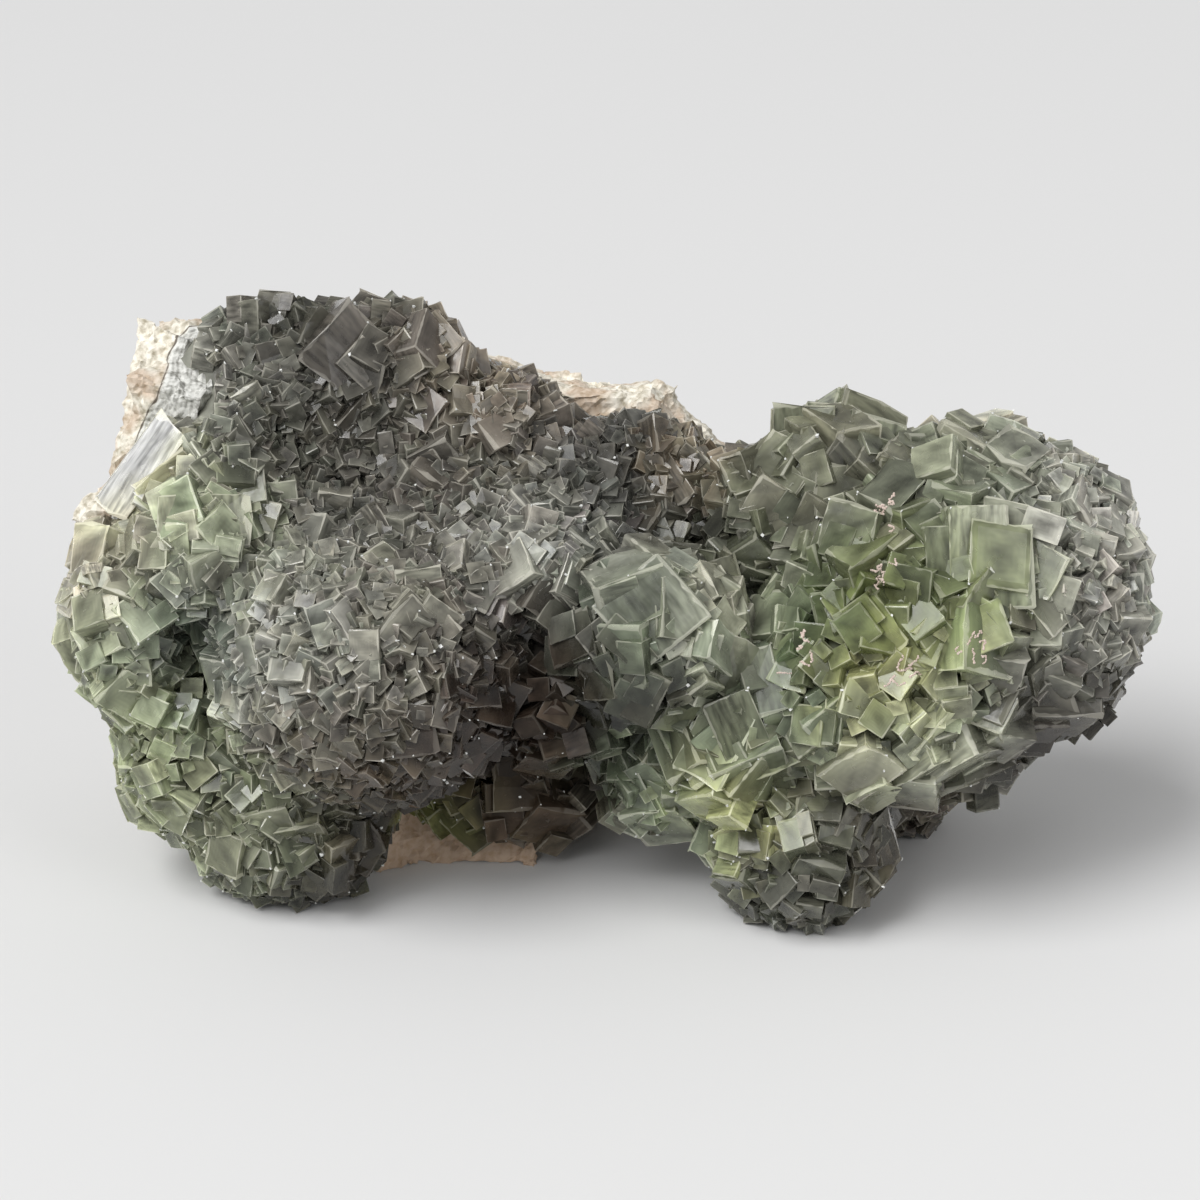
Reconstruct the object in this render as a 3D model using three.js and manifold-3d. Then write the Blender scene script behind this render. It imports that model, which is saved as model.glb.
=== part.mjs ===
// A fluorite specimen: green and grey cubes intergrown into one lumpy crust on a broken slab of pale host rock.
// Millimetres and +Z up. The front of the specimen faces -Y and its long side runs along X.
// The shapes are placed in a draft frame, and at the end the whole specimen moves so that its origin is
// under the middle of its box, on the surface that it lies on.
import * as THREE from "three";
import { mergeVertices } from "three/addons/utils/BufferGeometryUtils.js";
import { ImprovedNoise } from "three/addons/math/ImprovedNoise.js";
import { MarchingCubes } from "three/addons/objects/MarchingCubes.js";
import Module from "manifold-3d";

const wasm = await Module();
wasm.setup();

// The frame and the gaps
const restHeight = 1; // the feet are trimmed flat at this height of the draft frame
const draftMiddle = { x: 1, y: 7.1 }; // the middle of the finished specimen in the draft frame
const bedGap = 0.45; // between the crust and the rock that it grew on
const clearance = 1; // a cube's place keeps this far from the rock and from the resting surface
const weldDistance = 1e-3; // corners nearer than this are one corner

// The crust's skin
const blendWidth = 5; // how softly one lobe runs into the next
const skinGrid = { half: 112, height: 50, steps: 24, mostTriangles: 20000 };

// The cubes that grow on it
const cubeSpacing = 1.3; // distance between neighbouring cubes, in edges
const cubeSink = 0.3; // how far below the skin a cube's centre lies, in edges
const edgeSpread = 0.5; // the largest cubes are longer than the smallest by this share
const skinReach = 0.45; // a place this far off the skin, in edges, is moved onto it
const placesPerCube = 2; // places tried for each cube that would fit on a whole lobe
const hidden = { scale: 1.8, back: 0.35, under: -0.45 }; // larger cubes where the skin looks back or down
const largeCubeRise = 1.5; // how far the face of a large cube stands out of the skin

// The lumps of the rock's broken surface
const rockLump = { height: 6, width: 19, cell: 12, shift: { x: 9, y: 7, z: 5 } };

// Lobes of the crust: name, centre, radii, the edge of its cubes, and how far their corners turn outwards.
const lobes = [
  ["left_foot", [-55, -10, 18], [17, 16, 18], 7.5, 0.9],
  ["left_belly", [-40, -10, 48], [26, 23, 25], 7.5, 0.9],
  ["left_bulb", [-81, -3, 51], [9, 13, 17], 7, 0.7],
  ["left_lower", [-73, -3, 28], [10, 14, 16], 8, 0.7],
  ["left_shelf", [-67, -2, 66], [11, 15, 11], 8, 0.6],
  ["left_mass", [-50, 9, 61], [32, 19, 31], 7, 0.9],
  ["rim_top", [-54, 19, 87], [23, 9, 11], 7, 0.9],
  ["rim_peak", [-35, 17, 89], [11, 9, 10], 8, 0.8],
  ["rim_slope", [-21, 16, 79], [14, 10, 9], 7, 0.9],
  ["mid_mass", [-12, 8, 57], [27, 19, 20], 6.5, 0.9],
  ["saddle", [5, 12, 69], [15, 12, 11], 6.5, 0.9],
  ["mid_bumps", [-14, -8, 64], [12, 10, 8], 6.5, 0.9],
  ["mid_front", [8, -13, 54], [14, 15, 13], 10, 0.5],
  ["mid_under", [-8, -7, 42], [15, 15, 10], 10, 0.5],
  ["mid_foot", [-19, 12, 18], [20, 15, 14], 8.5, 0.6],
  ["mid_neck", [-18, 14, 34], [23, 13, 16], 9, 0.6],
  ["right_core", [54, -2, 52], [26, 25, 24], 10, 0.45],
  ["right_end", [76, 2, 53], [15, 20, 20], 8.5, 0.7],
  ["right_top", [40, 8, 71], [12, 13, 11], 11, 0.35],
  ["right_neck", [25, 6, 64], [8, 12, 12], 9, 0.5],
  ["right_shoulder", [66, 6, 68], [21, 15, 11], 9, 0.5],
  ["right_belly", [46, -13, 44], [20, 17, 17], 10, 0.45],
  ["right_low_end", [77, 6, 40], [11, 16, 10], 7.5, 0.8],
  ["right_lower", [63, -2, 32], [11, 14, 11], 7.5, 0.7],
  ["leg_upper", [22, -12, 36], [12, 14, 14], 10, 0.5],
  ["right_foot", [34, -13, 15], [14, 15, 16], 8.5, 0.7],
  ["leg_left", [10, -4, 25], [9, 12, 11], 9, 0.5],
  ["back_knob", [64, 24, 61], [8, 10, 8], 8, 0.6],
  ["back_foot", [56, 16, 15], [9, 10, 15], 8, 0.6],
  ["right_back", [52, 18, 46], [21, 15, 17], 9, 0.6],
].map(shapeOf);

// Hollows in the front of the crust: name, centre, radii, the edge of their cubes, and their turn.
const hollows = [
  ["basin", [-36, -18, 89], [35, 26, 22], 6, 0.9],
  ["saddle_basin", [6, -10, 80], [17, 17, 13], 6.5, 0.9],
].map(shapeOf);

// The cubes that stand out by their size: place on the skin, the way the front face looks, its spin in
// degrees, and the size across, up and into the crust.
const largeCubes = {
  front_plate: { place: [8, -25, 63], looks: [-0.1, -0.85, 0.5], spin: 42, size: [14, 14, 12] },
  twin_cube: { place: [63.5, -19, 68], looks: [0.2, -0.87, 0.45], spin: 2, size: [16, 14, 12] },
  top_block: { place: [34.5, 6, 79], looks: [-0.1, -0.9, 0.35], spin: -3, size: [11, 14, 14] },
  top_block_right: { place: [46, 6, 78], looks: [0.3, -0.85, 0.4], spin: -14, size: [10, 12, 12] },
  shoulder_plate: { place: [55, 3, 75], looks: [0.1, -0.5, 0.86], spin: 4, size: [12, 9, 8] },
  leaning_prism: { place: [37, -11, 69], looks: [-0.4, -0.7, 0.6], spin: -40, size: [7, 15, 9] },
  pale_face: { place: [54, -27, 58], looks: [0.1, -0.92, 0.3], spin: 40, size: [9, 9, 8] },
  green_prism: { place: [26, -22, 48], looks: [-0.3, -0.8, 0.5], spin: 15, size: [9, 12, 9] },
  leg_face: { place: [27, -25, 40], looks: [0.1, -0.95, 0.25], spin: 22, size: [12, 13, 12] },
  shelf_cube: { place: [-67, -12, 73], looks: [0.1, -0.8, 0.55], spin: 6, size: [15, 9, 9] },
  cleaved_plate: { place: [-79, 0, 78], looks: [-0.3, -0.8, 0.5], spin: -38, size: [8, 22, 6] },
  ridge_cube: { place: [-43, 10, 96], looks: [-0.1, -0.8, 0.6], spin: 47, size: [14, 14, 13] },
  saddle_facet: { place: [12, 5, 74], looks: [-0.5, -0.75, 0.45], spin: 35, size: [5, 10, 6] },
  knob_cube: { place: [64, 20, 67], looks: [0.1, -0.85, 0.5], spin: -8, size: [9, 8, 9] },
};

// Blocks of the host rock: centre, size and lean about X, Y and Z in degrees.
const rockBlocks = {
  back_slab: { centre: [-57, 28, 58], size: [40, 15, 68], lean: [4, 0, 4] },
  left_edge: { centre: [-77, 20, 68], size: [12, 22, 48], lean: [0, 14, -24] },
  edge_strip: { centre: [-79.5, 15, 76], size: [11, 13, 38], lean: [-36, 15, -18] },
  back_ridge: { centre: [-50, 33, 42], size: [36, 17, 46], lean: [8, 14, 13] },
  middle_slab: { centre: [-15, 27, 44], size: [46, 17, 78], lean: [-4, 7, -5] },
  saddle_rim: { centre: [8, 24, 65], size: [22, 15, 26], lean: [0, 38, -5] },
  middle_ridge: { centre: [-2, 33, 34], size: [32, 16, 44], lean: [7, -15, -16] },
  middle_foot: { centre: [-28, 17, 4], size: [31, 36, 14], lean: [0, 0, 5] },
};

function shapeOf([name, centre, radii, cube, turn]) {
  return { name, centre: new THREE.Vector3(...centre), radii: new THREE.Vector3(...radii), cube, turn };
}

// A number from 0 to 1 that is always the same for the same seed.
function chance(seed) {
  const value = Math.sin(seed * 12.9898 + 4.1414) * 43758.5453;
  return value - Math.floor(value);
}

// Distance to an ellipsoid's surface, close to true near it and negative inside.
function ellipsoidDistance(point, { centre, radii }) {
  const scaled = point.clone().sub(centre).divide(radii);
  const reach = scaled.length();
  const steepness = scaled.divide(radii).length();
  return steepness === 0 ? -Math.min(...radii) : (reach * (reach - 1)) / steepness;
}

// The smaller of two distances, rounded over where they are nearly equal.
function softMin(a, b) {
  const overlap = Math.max(blendWidth - Math.abs(a - b), 0);
  return Math.min(a, b) - overlap ** 2 / (4 * blendWidth);
}

// Distance to the crust's skin before cubes grow on it: all lobes run together, less the hollows.
function skinDistance(point) {
  let distance = Infinity;
  for (const lobe of lobes) distance = softMin(distance, ellipsoidDistance(point, lobe));
  for (const hollow of hollows) distance = -softMin(-distance, ellipsoidDistance(point, hollow));
  return distance;
}

// The direction straight out of the skin, from the slope of the distance over a millimetre.
function outward(point) {
  const halfStep = 0.5;
  const slope = (axis) =>
    skinDistance(point.clone().addScaledVector(axis, halfStep)) -
    skinDistance(point.clone().addScaledVector(axis, -halfStep));
  return new THREE.Vector3(
    slope(new THREE.Vector3(1, 0, 0)),
    slope(new THREE.Vector3(0, 1, 0)),
    slope(new THREE.Vector3(0, 0, 1)),
  ).normalize();
}

// A closed mesh as a solid that can be joined and cut. Triangles that shrank to a line are dropped.
function solidOf(geometry) {
  const bare = geometry.clone();
  bare.deleteAttribute("normal");
  bare.deleteAttribute("uv");
  const merged = mergeVertices(bare, weldDistance);
  const corners = merged.index.array;
  const kept = [];
  for (let i = 0; i < corners.length; i += 3) {
    const [a, b, c] = corners.slice(i, i + 3);
    if (a !== b && b !== c && c !== a) kept.push(a, b, c);
  }
  return new wasm.Manifold(
    new wasm.Mesh({
      numProp: 3,
      vertProperties: merged.attributes.position.array,
      triVerts: new Uint32Array(kept),
    }),
  );
}

// The skin as a closed mesh, drawn on a coarse grid.
function skinSolid() {
  const { half, height, steps, mostTriangles } = skinGrid;
  const middle = new THREE.Vector3(0, 0, height);
  const grid = new MarchingCubes(steps, undefined, false, false, mostTriangles);
  grid.isolation = 0;
  const point = new THREE.Vector3();
  for (let k = 0; k < steps; k++)
    for (let j = 0; j < steps; j++)
      for (let i = 0; i < steps; i++) {
        point.set(i, j, k).subScalar(steps / 2).multiplyScalar((2 * half) / steps).add(middle);
        grid.field[i + steps * (j + steps * k)] = -skinDistance(point);
      }
  grid.update();
  const geometry = new THREE.BufferGeometry();
  const positions = grid.positionArray.slice(0, grid.count * 3);
  geometry.setAttribute("position", new THREE.BufferAttribute(positions, 3));
  geometry.scale(half, half, half);
  geometry.translate(middle.x, middle.y, middle.z);
  return solidOf(geometry);
}

function turnOf(lean) {
  return new THREE.Euler(...lean.map(THREE.MathUtils.degToRad));
}

// Whether a place is inside the rock or closer to it than a margin.
function inRock(point, margin) {
  return Object.values(rockBlocks).some(({ centre, size, lean }) => {
    const local = point.clone().sub(new THREE.Vector3(...centre));
    local.applyQuaternion(new THREE.Quaternion().setFromEuler(turnOf(lean)).invert());
    return (
      Math.abs(local.x) < size[0] / 2 + margin &&
      Math.abs(local.y) < size[1] / 2 + margin &&
      Math.abs(local.z) < size[2] / 2 + margin
    );
  });
}

// Even places on an ellipsoid, along a spiral from pole to pole, about one for each square of a side.
function spiralPlaces({ centre, radii }, side) {
  const goldenAngle = Math.PI * (3 - Math.sqrt(5));
  const power = 1.6; // of the usual short formula for an ellipsoid's area
  const [a, b, c] = radii.toArray().map((radius) => radius ** power);
  const area = 4 * Math.PI * ((a * b + a * c + b * c) / 3) ** (1 / power);
  const count = Math.round((placesPerCube * area) / side ** 2);
  return Array.from({ length: count }, (_, i) => {
    const rise = 1 - (2 * i + 1) / count;
    const ring = Math.sqrt(1 - rise ** 2);
    const place = new THREE.Vector3(ring * Math.cos(goldenAngle * i), ring * Math.sin(goldenAngle * i), rise);
    return place.multiply(radii).add(centre);
  });
}

// One cube with a corner turned outwards, sunk a little into the skin.
function grownCube(place, normal, cube, turn, seed) {
  const [growth, leanUp, leanAcross, spin] = [0, 0.1, 0.2, 0.3].map((step) => chance(seed + step));
  const edge = cube * (1 + edgeSpread * growth);
  const outmost = new THREE.Vector3(1, turn * leanUp, turn * leanAcross).normalize();
  const box = new THREE.BoxGeometry(edge, edge, edge);
  box.applyQuaternion(new THREE.Quaternion().setFromUnitVectors(outmost, normal));
  box.applyQuaternion(new THREE.Quaternion().setFromAxisAngle(normal, 2 * Math.PI * spin));
  box.translate(...place.clone().addScaledVector(normal, -cubeSink * edge));
  return solidOf(box);
}

// Small cubes spread evenly over each lobe and hollow where it is part of the skin.
function grownCubes() {
  const seedsPerShape = 1000;
  const taken = [];
  const solids = [];
  [...lobes, ...hollows].forEach((shape, shapeIndex) => {
    spiralPlaces(shape, cubeSpacing * shape.cube).forEach((place, i) => {
      const offSkin = skinDistance(place);
      if (Math.abs(offSkin) > skinReach * shape.cube) return;
      const normal = outward(place);
      place.addScaledVector(normal, -offSkin);
      const outOfSight = normal.y > hidden.back || normal.z < hidden.under;
      const cube = outOfSight ? hidden.scale * shape.cube : shape.cube;
      if (taken.some((other) => other.distanceTo(place) < cubeSpacing * cube)) return;
      if (inRock(place, clearance) || place.z < restHeight + clearance) return;
      taken.push(place);
      solids.push(grownCube(place, normal, cube, shape.turn, seedsPerShape * shapeIndex + i));
    });
  });
  return solids;
}

// One large cube with its front face looking along a direction, spun about it and sunk into the skin.
function largeCube({ place, looks, spin, size }) {
  const direction = new THREE.Vector3(...looks).normalize();
  const across = new THREE.Vector3(1, 0, 0).projectOnPlane(direction).normalize();
  const up = direction.clone().cross(across);
  const box = new THREE.BoxGeometry(...size);
  box.rotateZ(THREE.MathUtils.degToRad(spin));
  box.applyMatrix4(new THREE.Matrix4().makeBasis(across, up, direction));
  box.translate(...new THREE.Vector3(...place).addScaledVector(direction, largeCubeRise - size[2] / 2));
  return solidOf(box);
}

// One block of rock with its surface pushed in and out by lumps, and grown by an allowance on every side.
function rockBlock({ centre, size, lean }, allowance) {
  const { height, width, cell, shift } = rockLump;
  const box = new THREE.BoxGeometry(...size, ...size.map((side) => Math.round(side / cell)));
  box.applyMatrix4(new THREE.Matrix4().makeRotationFromEuler(turnOf(lean)));
  box.translate(...centre);
  box.deleteAttribute("normal");
  box.deleteAttribute("uv");
  const merged = mergeVertices(box, weldDistance);
  const noise = new ImprovedNoise();
  const position = merged.attributes.position;
  const point = new THREE.Vector3();
  for (let i = 0; i < position.count; i++) {
    point.fromBufferAttribute(position, i);
    const [x, y, z] = point.clone().divideScalar(width);
    point.x += height * noise.noise(x, y, z + shift.z);
    point.y += height * noise.noise(x + shift.x, y, z);
    point.z += height * noise.noise(x, y + shift.y, z);
    position.setXYZ(i, ...point);
  }
  merged.computeVertexNormals();
  const normal = merged.attributes.normal;
  for (let i = 0; i < position.count; i++) {
    point.fromBufferAttribute(position, i);
    point.addScaledVector(new THREE.Vector3().fromBufferAttribute(normal, i), allowance);
    position.setXYZ(i, ...point);
  }
  return solidOf(merged);
}

function rockSolid(allowance) {
  return wasm.Manifold.union(Object.values(rockBlocks).map((block) => rockBlock(block, allowance)));
}

// Cuts away all that lies below the surface that the specimen rests on, and keeps the largest body.
function trimmed(solid) {
  const table = { width: 400, depth: 100 };
  const below = new THREE.BoxGeometry(table.width, table.width, table.depth);
  below.translate(0, 0, restHeight - table.depth / 2);
  const bodies = solid.subtract(solidOf(below)).decompose();
  return bodies.sort((one, other) => other.volume() - one.volume())[0];
}

function meshOf(name, solid, material) {
  const mesh = solid.getMesh();
  const geometry = new THREE.BufferGeometry();
  geometry.setAttribute("position", new THREE.BufferAttribute(mesh.vertProperties, 3));
  geometry.setIndex(new THREE.BufferAttribute(mesh.triVerts, 1));
  const made = new THREE.Mesh(geometry, material);
  made.name = name;
  return made;
}

const paleRock = new THREE.MeshStandardMaterial({ color: 0xcdc3ae, roughness: 0.9, metalness: 0 });
const greenFluorite = new THREE.MeshStandardMaterial({ color: 0x7d8878, roughness: 0.25, metalness: 0 });

const rock = trimmed(rockSolid(0));
const largest = Object.values(largeCubes).map(largeCube);
const druse = wasm.Manifold.union([skinSolid(), ...grownCubes(), ...largest]);
const crust = trimmed(druse.subtract(rockSolid(bedGap)));

const specimen = new THREE.Group();
specimen.add(meshOf("matrix_rock", rock, paleRock), meshOf("fluorite_crust", crust, greenFluorite));
specimen.position.set(-draftMiddle.x, -draftMiddle.y, -restHeight);
export default specimen;
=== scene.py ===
# %% [markdown]
# A fluorite specimen is a crust of intergrown cubes that grew outwards from a slab of host rock.
# The crust is modelled here in three steps. A smooth lumpy body gives its large forms, thousands of
# cubes grow on that body's skin, and a few large cubes stand where they catch the eye. Each cube is
# a closed solid of clear but cloudy mineral, so light enters it, and its colour comes from the place
# where it grew: grey in the hollow, green and yellow on the round lobe, brown below. In the gaps and
# under the crust the colour is darkened further as painted shade.

# %% Load the frame
import math

import bmesh
import bpy
import numpy as np
from mathutils import Matrix, Vector, noise
from mathutils.bvhtree import BVHTree


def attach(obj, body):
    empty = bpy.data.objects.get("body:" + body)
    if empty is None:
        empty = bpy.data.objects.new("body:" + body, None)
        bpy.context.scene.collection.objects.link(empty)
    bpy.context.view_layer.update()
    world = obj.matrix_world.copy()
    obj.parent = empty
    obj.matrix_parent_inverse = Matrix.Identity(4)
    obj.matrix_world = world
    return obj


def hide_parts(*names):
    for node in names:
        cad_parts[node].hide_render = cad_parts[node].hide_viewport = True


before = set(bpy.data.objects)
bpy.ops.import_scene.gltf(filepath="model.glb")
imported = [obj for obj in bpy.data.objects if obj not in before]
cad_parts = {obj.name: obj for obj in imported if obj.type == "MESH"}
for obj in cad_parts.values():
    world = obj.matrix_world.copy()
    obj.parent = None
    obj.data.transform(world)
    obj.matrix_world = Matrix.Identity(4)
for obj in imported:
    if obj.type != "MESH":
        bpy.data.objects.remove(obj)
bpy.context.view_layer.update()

MM = 0.001

# %% [markdown]
# The crust's large forms are soft lobes and two hollows. They could be sculpted, but a table of
# ellipsoids is easier to measure and to correct, one lobe at a time. Each row also says how large the
# cubes are that grow there, and how far they turn their corners outwards.

# %% Lobes and hollows of the crust
DRAFT_ORIGIN = np.array([1.0, 7.1, 1.0])  # the frame's origin, in the millimetres of the tables below

# name: centre, radii and usual cube edge in mm, then how far the cubes turn their corners outwards
LOBES = {
    "left_foot": ((-55, -7.5, 18), (17, 13.5, 18), 4.8, 0.7),
    "left_belly": ((-40, -10, 48), (26, 23, 25), 4.0, 0.8),
    "left_bulb": ((-81, -3, 51), (9, 13, 17), 5.2, 0.6),
    "left_lower": ((-73, -3, 28), (10, 14, 16), 5.2, 0.6),
    "left_shelf": ((-67, -2, 66), (11, 15, 11), 5.6, 0.6),
    "left_mass": ((-50, 9, 61), (32, 19, 31), 4.2, 0.8),
    "rim_top": ((-54, 19, 87), (23, 9, 11), 4.6, 0.8),
    "rim_peak": ((-35, 17, 89), (11, 9, 10), 4.8, 0.8),
    "rim_slope": ((-21, 16, 79), (14, 10, 9), 4.0, 0.9),
    "mid_mass": ((-12, 8, 57), (27, 19, 20), 3.8, 0.9),
    "saddle": ((5, 12, 69), (15, 12, 11), 3.8, 0.9),
    "mid_bumps": ((-14, -8, 64), (12, 10, 8), 4.2, 0.7),
    "mid_front": ((8, -13, 54), (14, 15, 13), 7.4, 0.4),
    "mid_under": ((-8, -7, 42), (15, 15, 10), 7.4, 0.4),
    "mid_foot": ((-19, 12, 18), (20, 15, 14), 6.4, 0.5),
    "mid_neck": ((-18, 14, 34), (23, 13, 16), 6.4, 0.6),
    "right_core": ((54, -2, 52), (26, 25, 24), 7.6, 0.5),
    "right_end": ((76.5, 2, 53), (16, 20.5, 20.5), 4.2, 0.65),
    "right_top": ((40, 8, 71), (12, 13, 11), 7.8, 0.35),
    "right_neck": ((25, 6, 64), (8, 12, 12), 6.4, 0.5),
    "right_shoulder": ((66, 6, 68), (21, 15, 11), 5.8, 0.5),
    "right_belly": ((46, -13, 44), (20, 17, 17), 7.8, 0.5),
    "right_low_end": ((77, 6, 40), (11, 16, 10), 4.2, 0.8),
    "right_lower": ((63, -2, 32), (11, 14, 11), 4.4, 0.7),
    "leg_upper": ((22, -12, 36), (12, 14, 14), 7.6, 0.4),
    "right_foot": ((34, -13, 15), (14, 15, 16), 6.2, 0.6),
    "leg_left": ((10, -4, 25), (9, 12, 11), 6.8, 0.5),
    "back_knob": ((64, 24, 61), (8, 10, 8), 6.0, 0.6),
    "back_foot": ((54, 16, 15), (9, 10, 15), 5.4, 0.6),
    "right_back": ((52, 18, 46), (21, 15, 17), 7.0, 0.6),
}
HOLLOWS = {
    "basin": ((-36, -18, 89), (35, 26, 22), 3.2, 0.9),
    "saddle_basin": ((6, -10, 80), (17, 17, 13), 3.8, 0.9),
}


def shape_of(entry):
    """A lobe's or hollow's numbers as arrays."""
    centre, radii, cube, turn = entry
    return {"centre": np.array(centre, float), "radii": np.array(radii, float), "cube": cube, "turn": turn}


lobes = {name: shape_of(entry) for name, entry in LOBES.items()}
hollows = {name: shape_of(entry) for name, entry in HOLLOWS.items()}
shapes = {**lobes, **hollows}
print(len(lobes), "lobes and", len(hollows), "hollows")

# %% [markdown]
# The lobes run softly together, and the hollows are cut out of them as softly. Joined meshes would need
# a new cut for every change, so the skin is known by a formula instead: for any point it gives the
# distance to the skin, negative inside. The same formula places the cubes, turns them outwards and
# tells the rock how far it lies from the crystals.

# %% Distance to the skin
BLEND_WIDTH = 5.0  # mm over which one lobe runs into the next


def ellipsoid_distance(points, shape):
    """Distance to an ellipsoid, close to true near its surface and negative inside."""
    scaled = (points - shape["centre"]) / shape["radii"]
    reach = np.linalg.norm(scaled, axis=1)
    steepness = np.linalg.norm(scaled / shape["radii"], axis=1)
    return reach * (reach - 1) / np.maximum(steepness, 1e-9)


def soft_min(a, b):
    """The smaller of two distances, rounded over where they are nearly equal."""
    overlap = np.maximum(BLEND_WIDTH - np.abs(a - b), 0)
    return np.minimum(a, b) - overlap**2 / (4 * BLEND_WIDTH)


def skin_distance(points):
    """Distance of points in draft millimetres to the skin of the crust, negative inside."""
    distance = np.full(len(points), 1e9)
    for shape in lobes.values():
        distance = soft_min(distance, ellipsoid_distance(points, shape))
    for shape in hollows.values():
        distance = -soft_min(-distance, ellipsoid_distance(points, shape))
    return distance


def outward(points, reach=0.5):
    """The direction straight out of the skin at each point."""
    steps = reach * np.eye(3)
    slopes = [skin_distance(points + step) - skin_distance(points - step) for step in steps]
    direction = np.stack(slopes, axis=1)
    return direction / np.maximum(np.linalg.norm(direction, axis=1, keepdims=True), 1e-9)


def onto_skin(points, level, steps=3):
    """Points moved straight in or out until they lie at a level above the skin."""
    for _ in range(steps):
        points = points - outward(points) * (skin_distance(points) - level)[:, None]
    return points


def to_frame(points):
    """Draft millimetres to the frame's metres."""
    return (points - DRAFT_ORIGIN) * MM


def to_draft(points):
    """The frame's metres to draft millimetres."""
    return points / MM + DRAFT_ORIGIN


end = lobes["right_end"]
beside = end["centre"] + np.array([end["radii"][0] + 5, 0, 0])
print("5 mm past the right end the formula gives", skin_distance(beside[None])[0].round(1), "mm")

# %% [markdown]
# The host rock is a broken slab, cream and grainy, with a layered edge. It could be modelled anew, but
# its solid already has the main breaks, so the rock starts from a copy of it. The solid's triangles are
# loose, so the copy's corners are merged first. Every piece here is one mesh at the origin.

# %% A copy of the rock's solid
MERGE_GAP = 0.002 * MM  # corners nearer to each other than this become one


def new_piece(name, mesh):
    """An object of a mesh, linked to the scene."""
    piece = bpy.data.objects.new(name, mesh)
    bpy.context.scene.collection.objects.link(piece)
    return piece


def piece_from_bmesh(name, shape):
    """An object from a bmesh, which is freed."""
    mesh = bpy.data.meshes.new(name)
    shape.to_mesh(mesh)
    shape.free()
    return new_piece(name, mesh)


def copy_of_node(node, name):
    """A copy of a CAD node's mesh as a piece of its own, with its corners merged."""
    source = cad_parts[node]
    shape = bmesh.new()
    shape.from_mesh(source.data)
    bmesh.ops.transform(shape, matrix=source.matrix_world, verts=shape.verts)
    bmesh.ops.remove_doubles(shape, verts=shape.verts, dist=MERGE_GAP)
    bmesh.ops.recalc_face_normals(shape, faces=shape.faces)
    return piece_from_bmesh(name, shape)


rock = copy_of_node("matrix_rock", "rock_slab")
rock_tree = BVHTree.FromPolygons(
    [tuple(v.co) for v in rock.data.vertices], [tuple(f.vertices) for f in rock.data.polygons]
)
print("rock solid", len(rock.data.polygons), "faces")

# %% [markdown]
# Broken rock is covered in chips. The copy is wrapped in an even skin, and each small cell of the skin
# then stands a little higher or lower than the next, under a finer roughness. Sculpting would do for
# the side that shows, but these patterns cover every side alike.

# %% The rock's chipped skin
ROCK_VOXEL = 0.9 * MM
CHIPS = ((6.0, 0.7), (2.4, 0.35))  # width and step height of the chips, in mm
CHIP_PICK = 7.3  # scales a chip's middle to the place from which its height is drawn
ROUGHNESS = (4.0, 0.6)  # width and height of the finer roughness, in mm
ROUGH_LAYERS = (0.7, 2.2, 4)  # loss of height and gain in fineness from layer to layer, number of layers


def corners_of(mesh):
    """A mesh's corners as an array."""
    flat = np.zeros(len(mesh.vertices) * 3)
    mesh.vertices.foreach_get("co", flat)
    return flat.reshape(-1, 3)


def move_corners(mesh, corners):
    """Puts a mesh's corners where an array says."""
    mesh.vertices.foreach_set("co", corners.ravel())
    mesh.update()


def remeshed(piece, voxel):
    """Replaces a piece's mesh by one even closed skin around it."""
    modifier = piece.modifiers.new("even skin", "REMESH")
    modifier.mode = "VOXEL"
    modifier.voxel_size = voxel
    graph = bpy.context.evaluated_depsgraph_get()
    even = bpy.data.meshes.new_from_object(piece.evaluated_get(graph))
    piece.modifiers.clear()
    piece.data = even
    return piece


def break_surface(piece):
    """Pushes a skin in and out by chips and by a finer roughness."""
    normals = np.zeros(len(piece.data.vertices) * 3)
    piece.data.vertices.foreach_get("normal", normals)
    corners = corners_of(piece.data)
    push = np.zeros(len(corners))
    for i, corner in enumerate(corners / MM):
        place = Vector(corner)
        for width, step in CHIPS:
            nearest = noise.voronoi(place / width)[1][0]
            push[i] += step * (noise.cell(nearest * CHIP_PICK) - 0.5)
        push[i] += ROUGHNESS[1] * noise.fractal(place / ROUGHNESS[0], *ROUGH_LAYERS)
    corners += normals.reshape(-1, 3) * (push * MM)[:, None]
    corners[:, 2] = np.maximum(corners[:, 2], 0)
    move_corners(piece.data, corners)


remeshed(rock, ROCK_VOXEL)
break_surface(rock)
print("rock skin", len(rock.data.polygons), "faces")

# %% [markdown]
# On the bare strip at the upper left, the rock changes from sparkling grey next to the crystals to
# cream at its outer edge, with a thin dark line between. A painted map would do, but a value for each
# corner, which says how deep in the layers it lies, is easier to move. It is counted from the strip's
# outer edge. Elsewhere the rock is cream, and the value only grows with distance from the crystals.

# %% The rock's layers
LINE_LAYER = 6.0  # layer value of the thin dark line between the grey bed and the cream rock
CREAM_WIDTH = 3.4  # mm of cream rock outside the line on the bare strip
STRIP_TOP = (-76.0, 97.0)  # draft x and z where the strip's outer edge starts
STRIP_LEAN = 0.43  # how far the edge runs outwards for each millimetre down
STRIP_STARTS = {"left": (54, 62), "up": (46, 58), "front": (-34, -24)}  # mm over which it sets in
CREAM_START = 2  # mm; elsewhere the value stays at least this far past the line


def add_values(mesh, name, kind, values):
    """Keeps one number, vector or colour for each corner of a mesh."""
    attribute = mesh.attributes.new(name, kind, "POINT")
    key = {"FLOAT": "value", "FLOAT_VECTOR": "vector", "FLOAT_COLOR": "color"}[kind]
    attribute.data.foreach_set(key, values.astype(np.float32).ravel())


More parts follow.
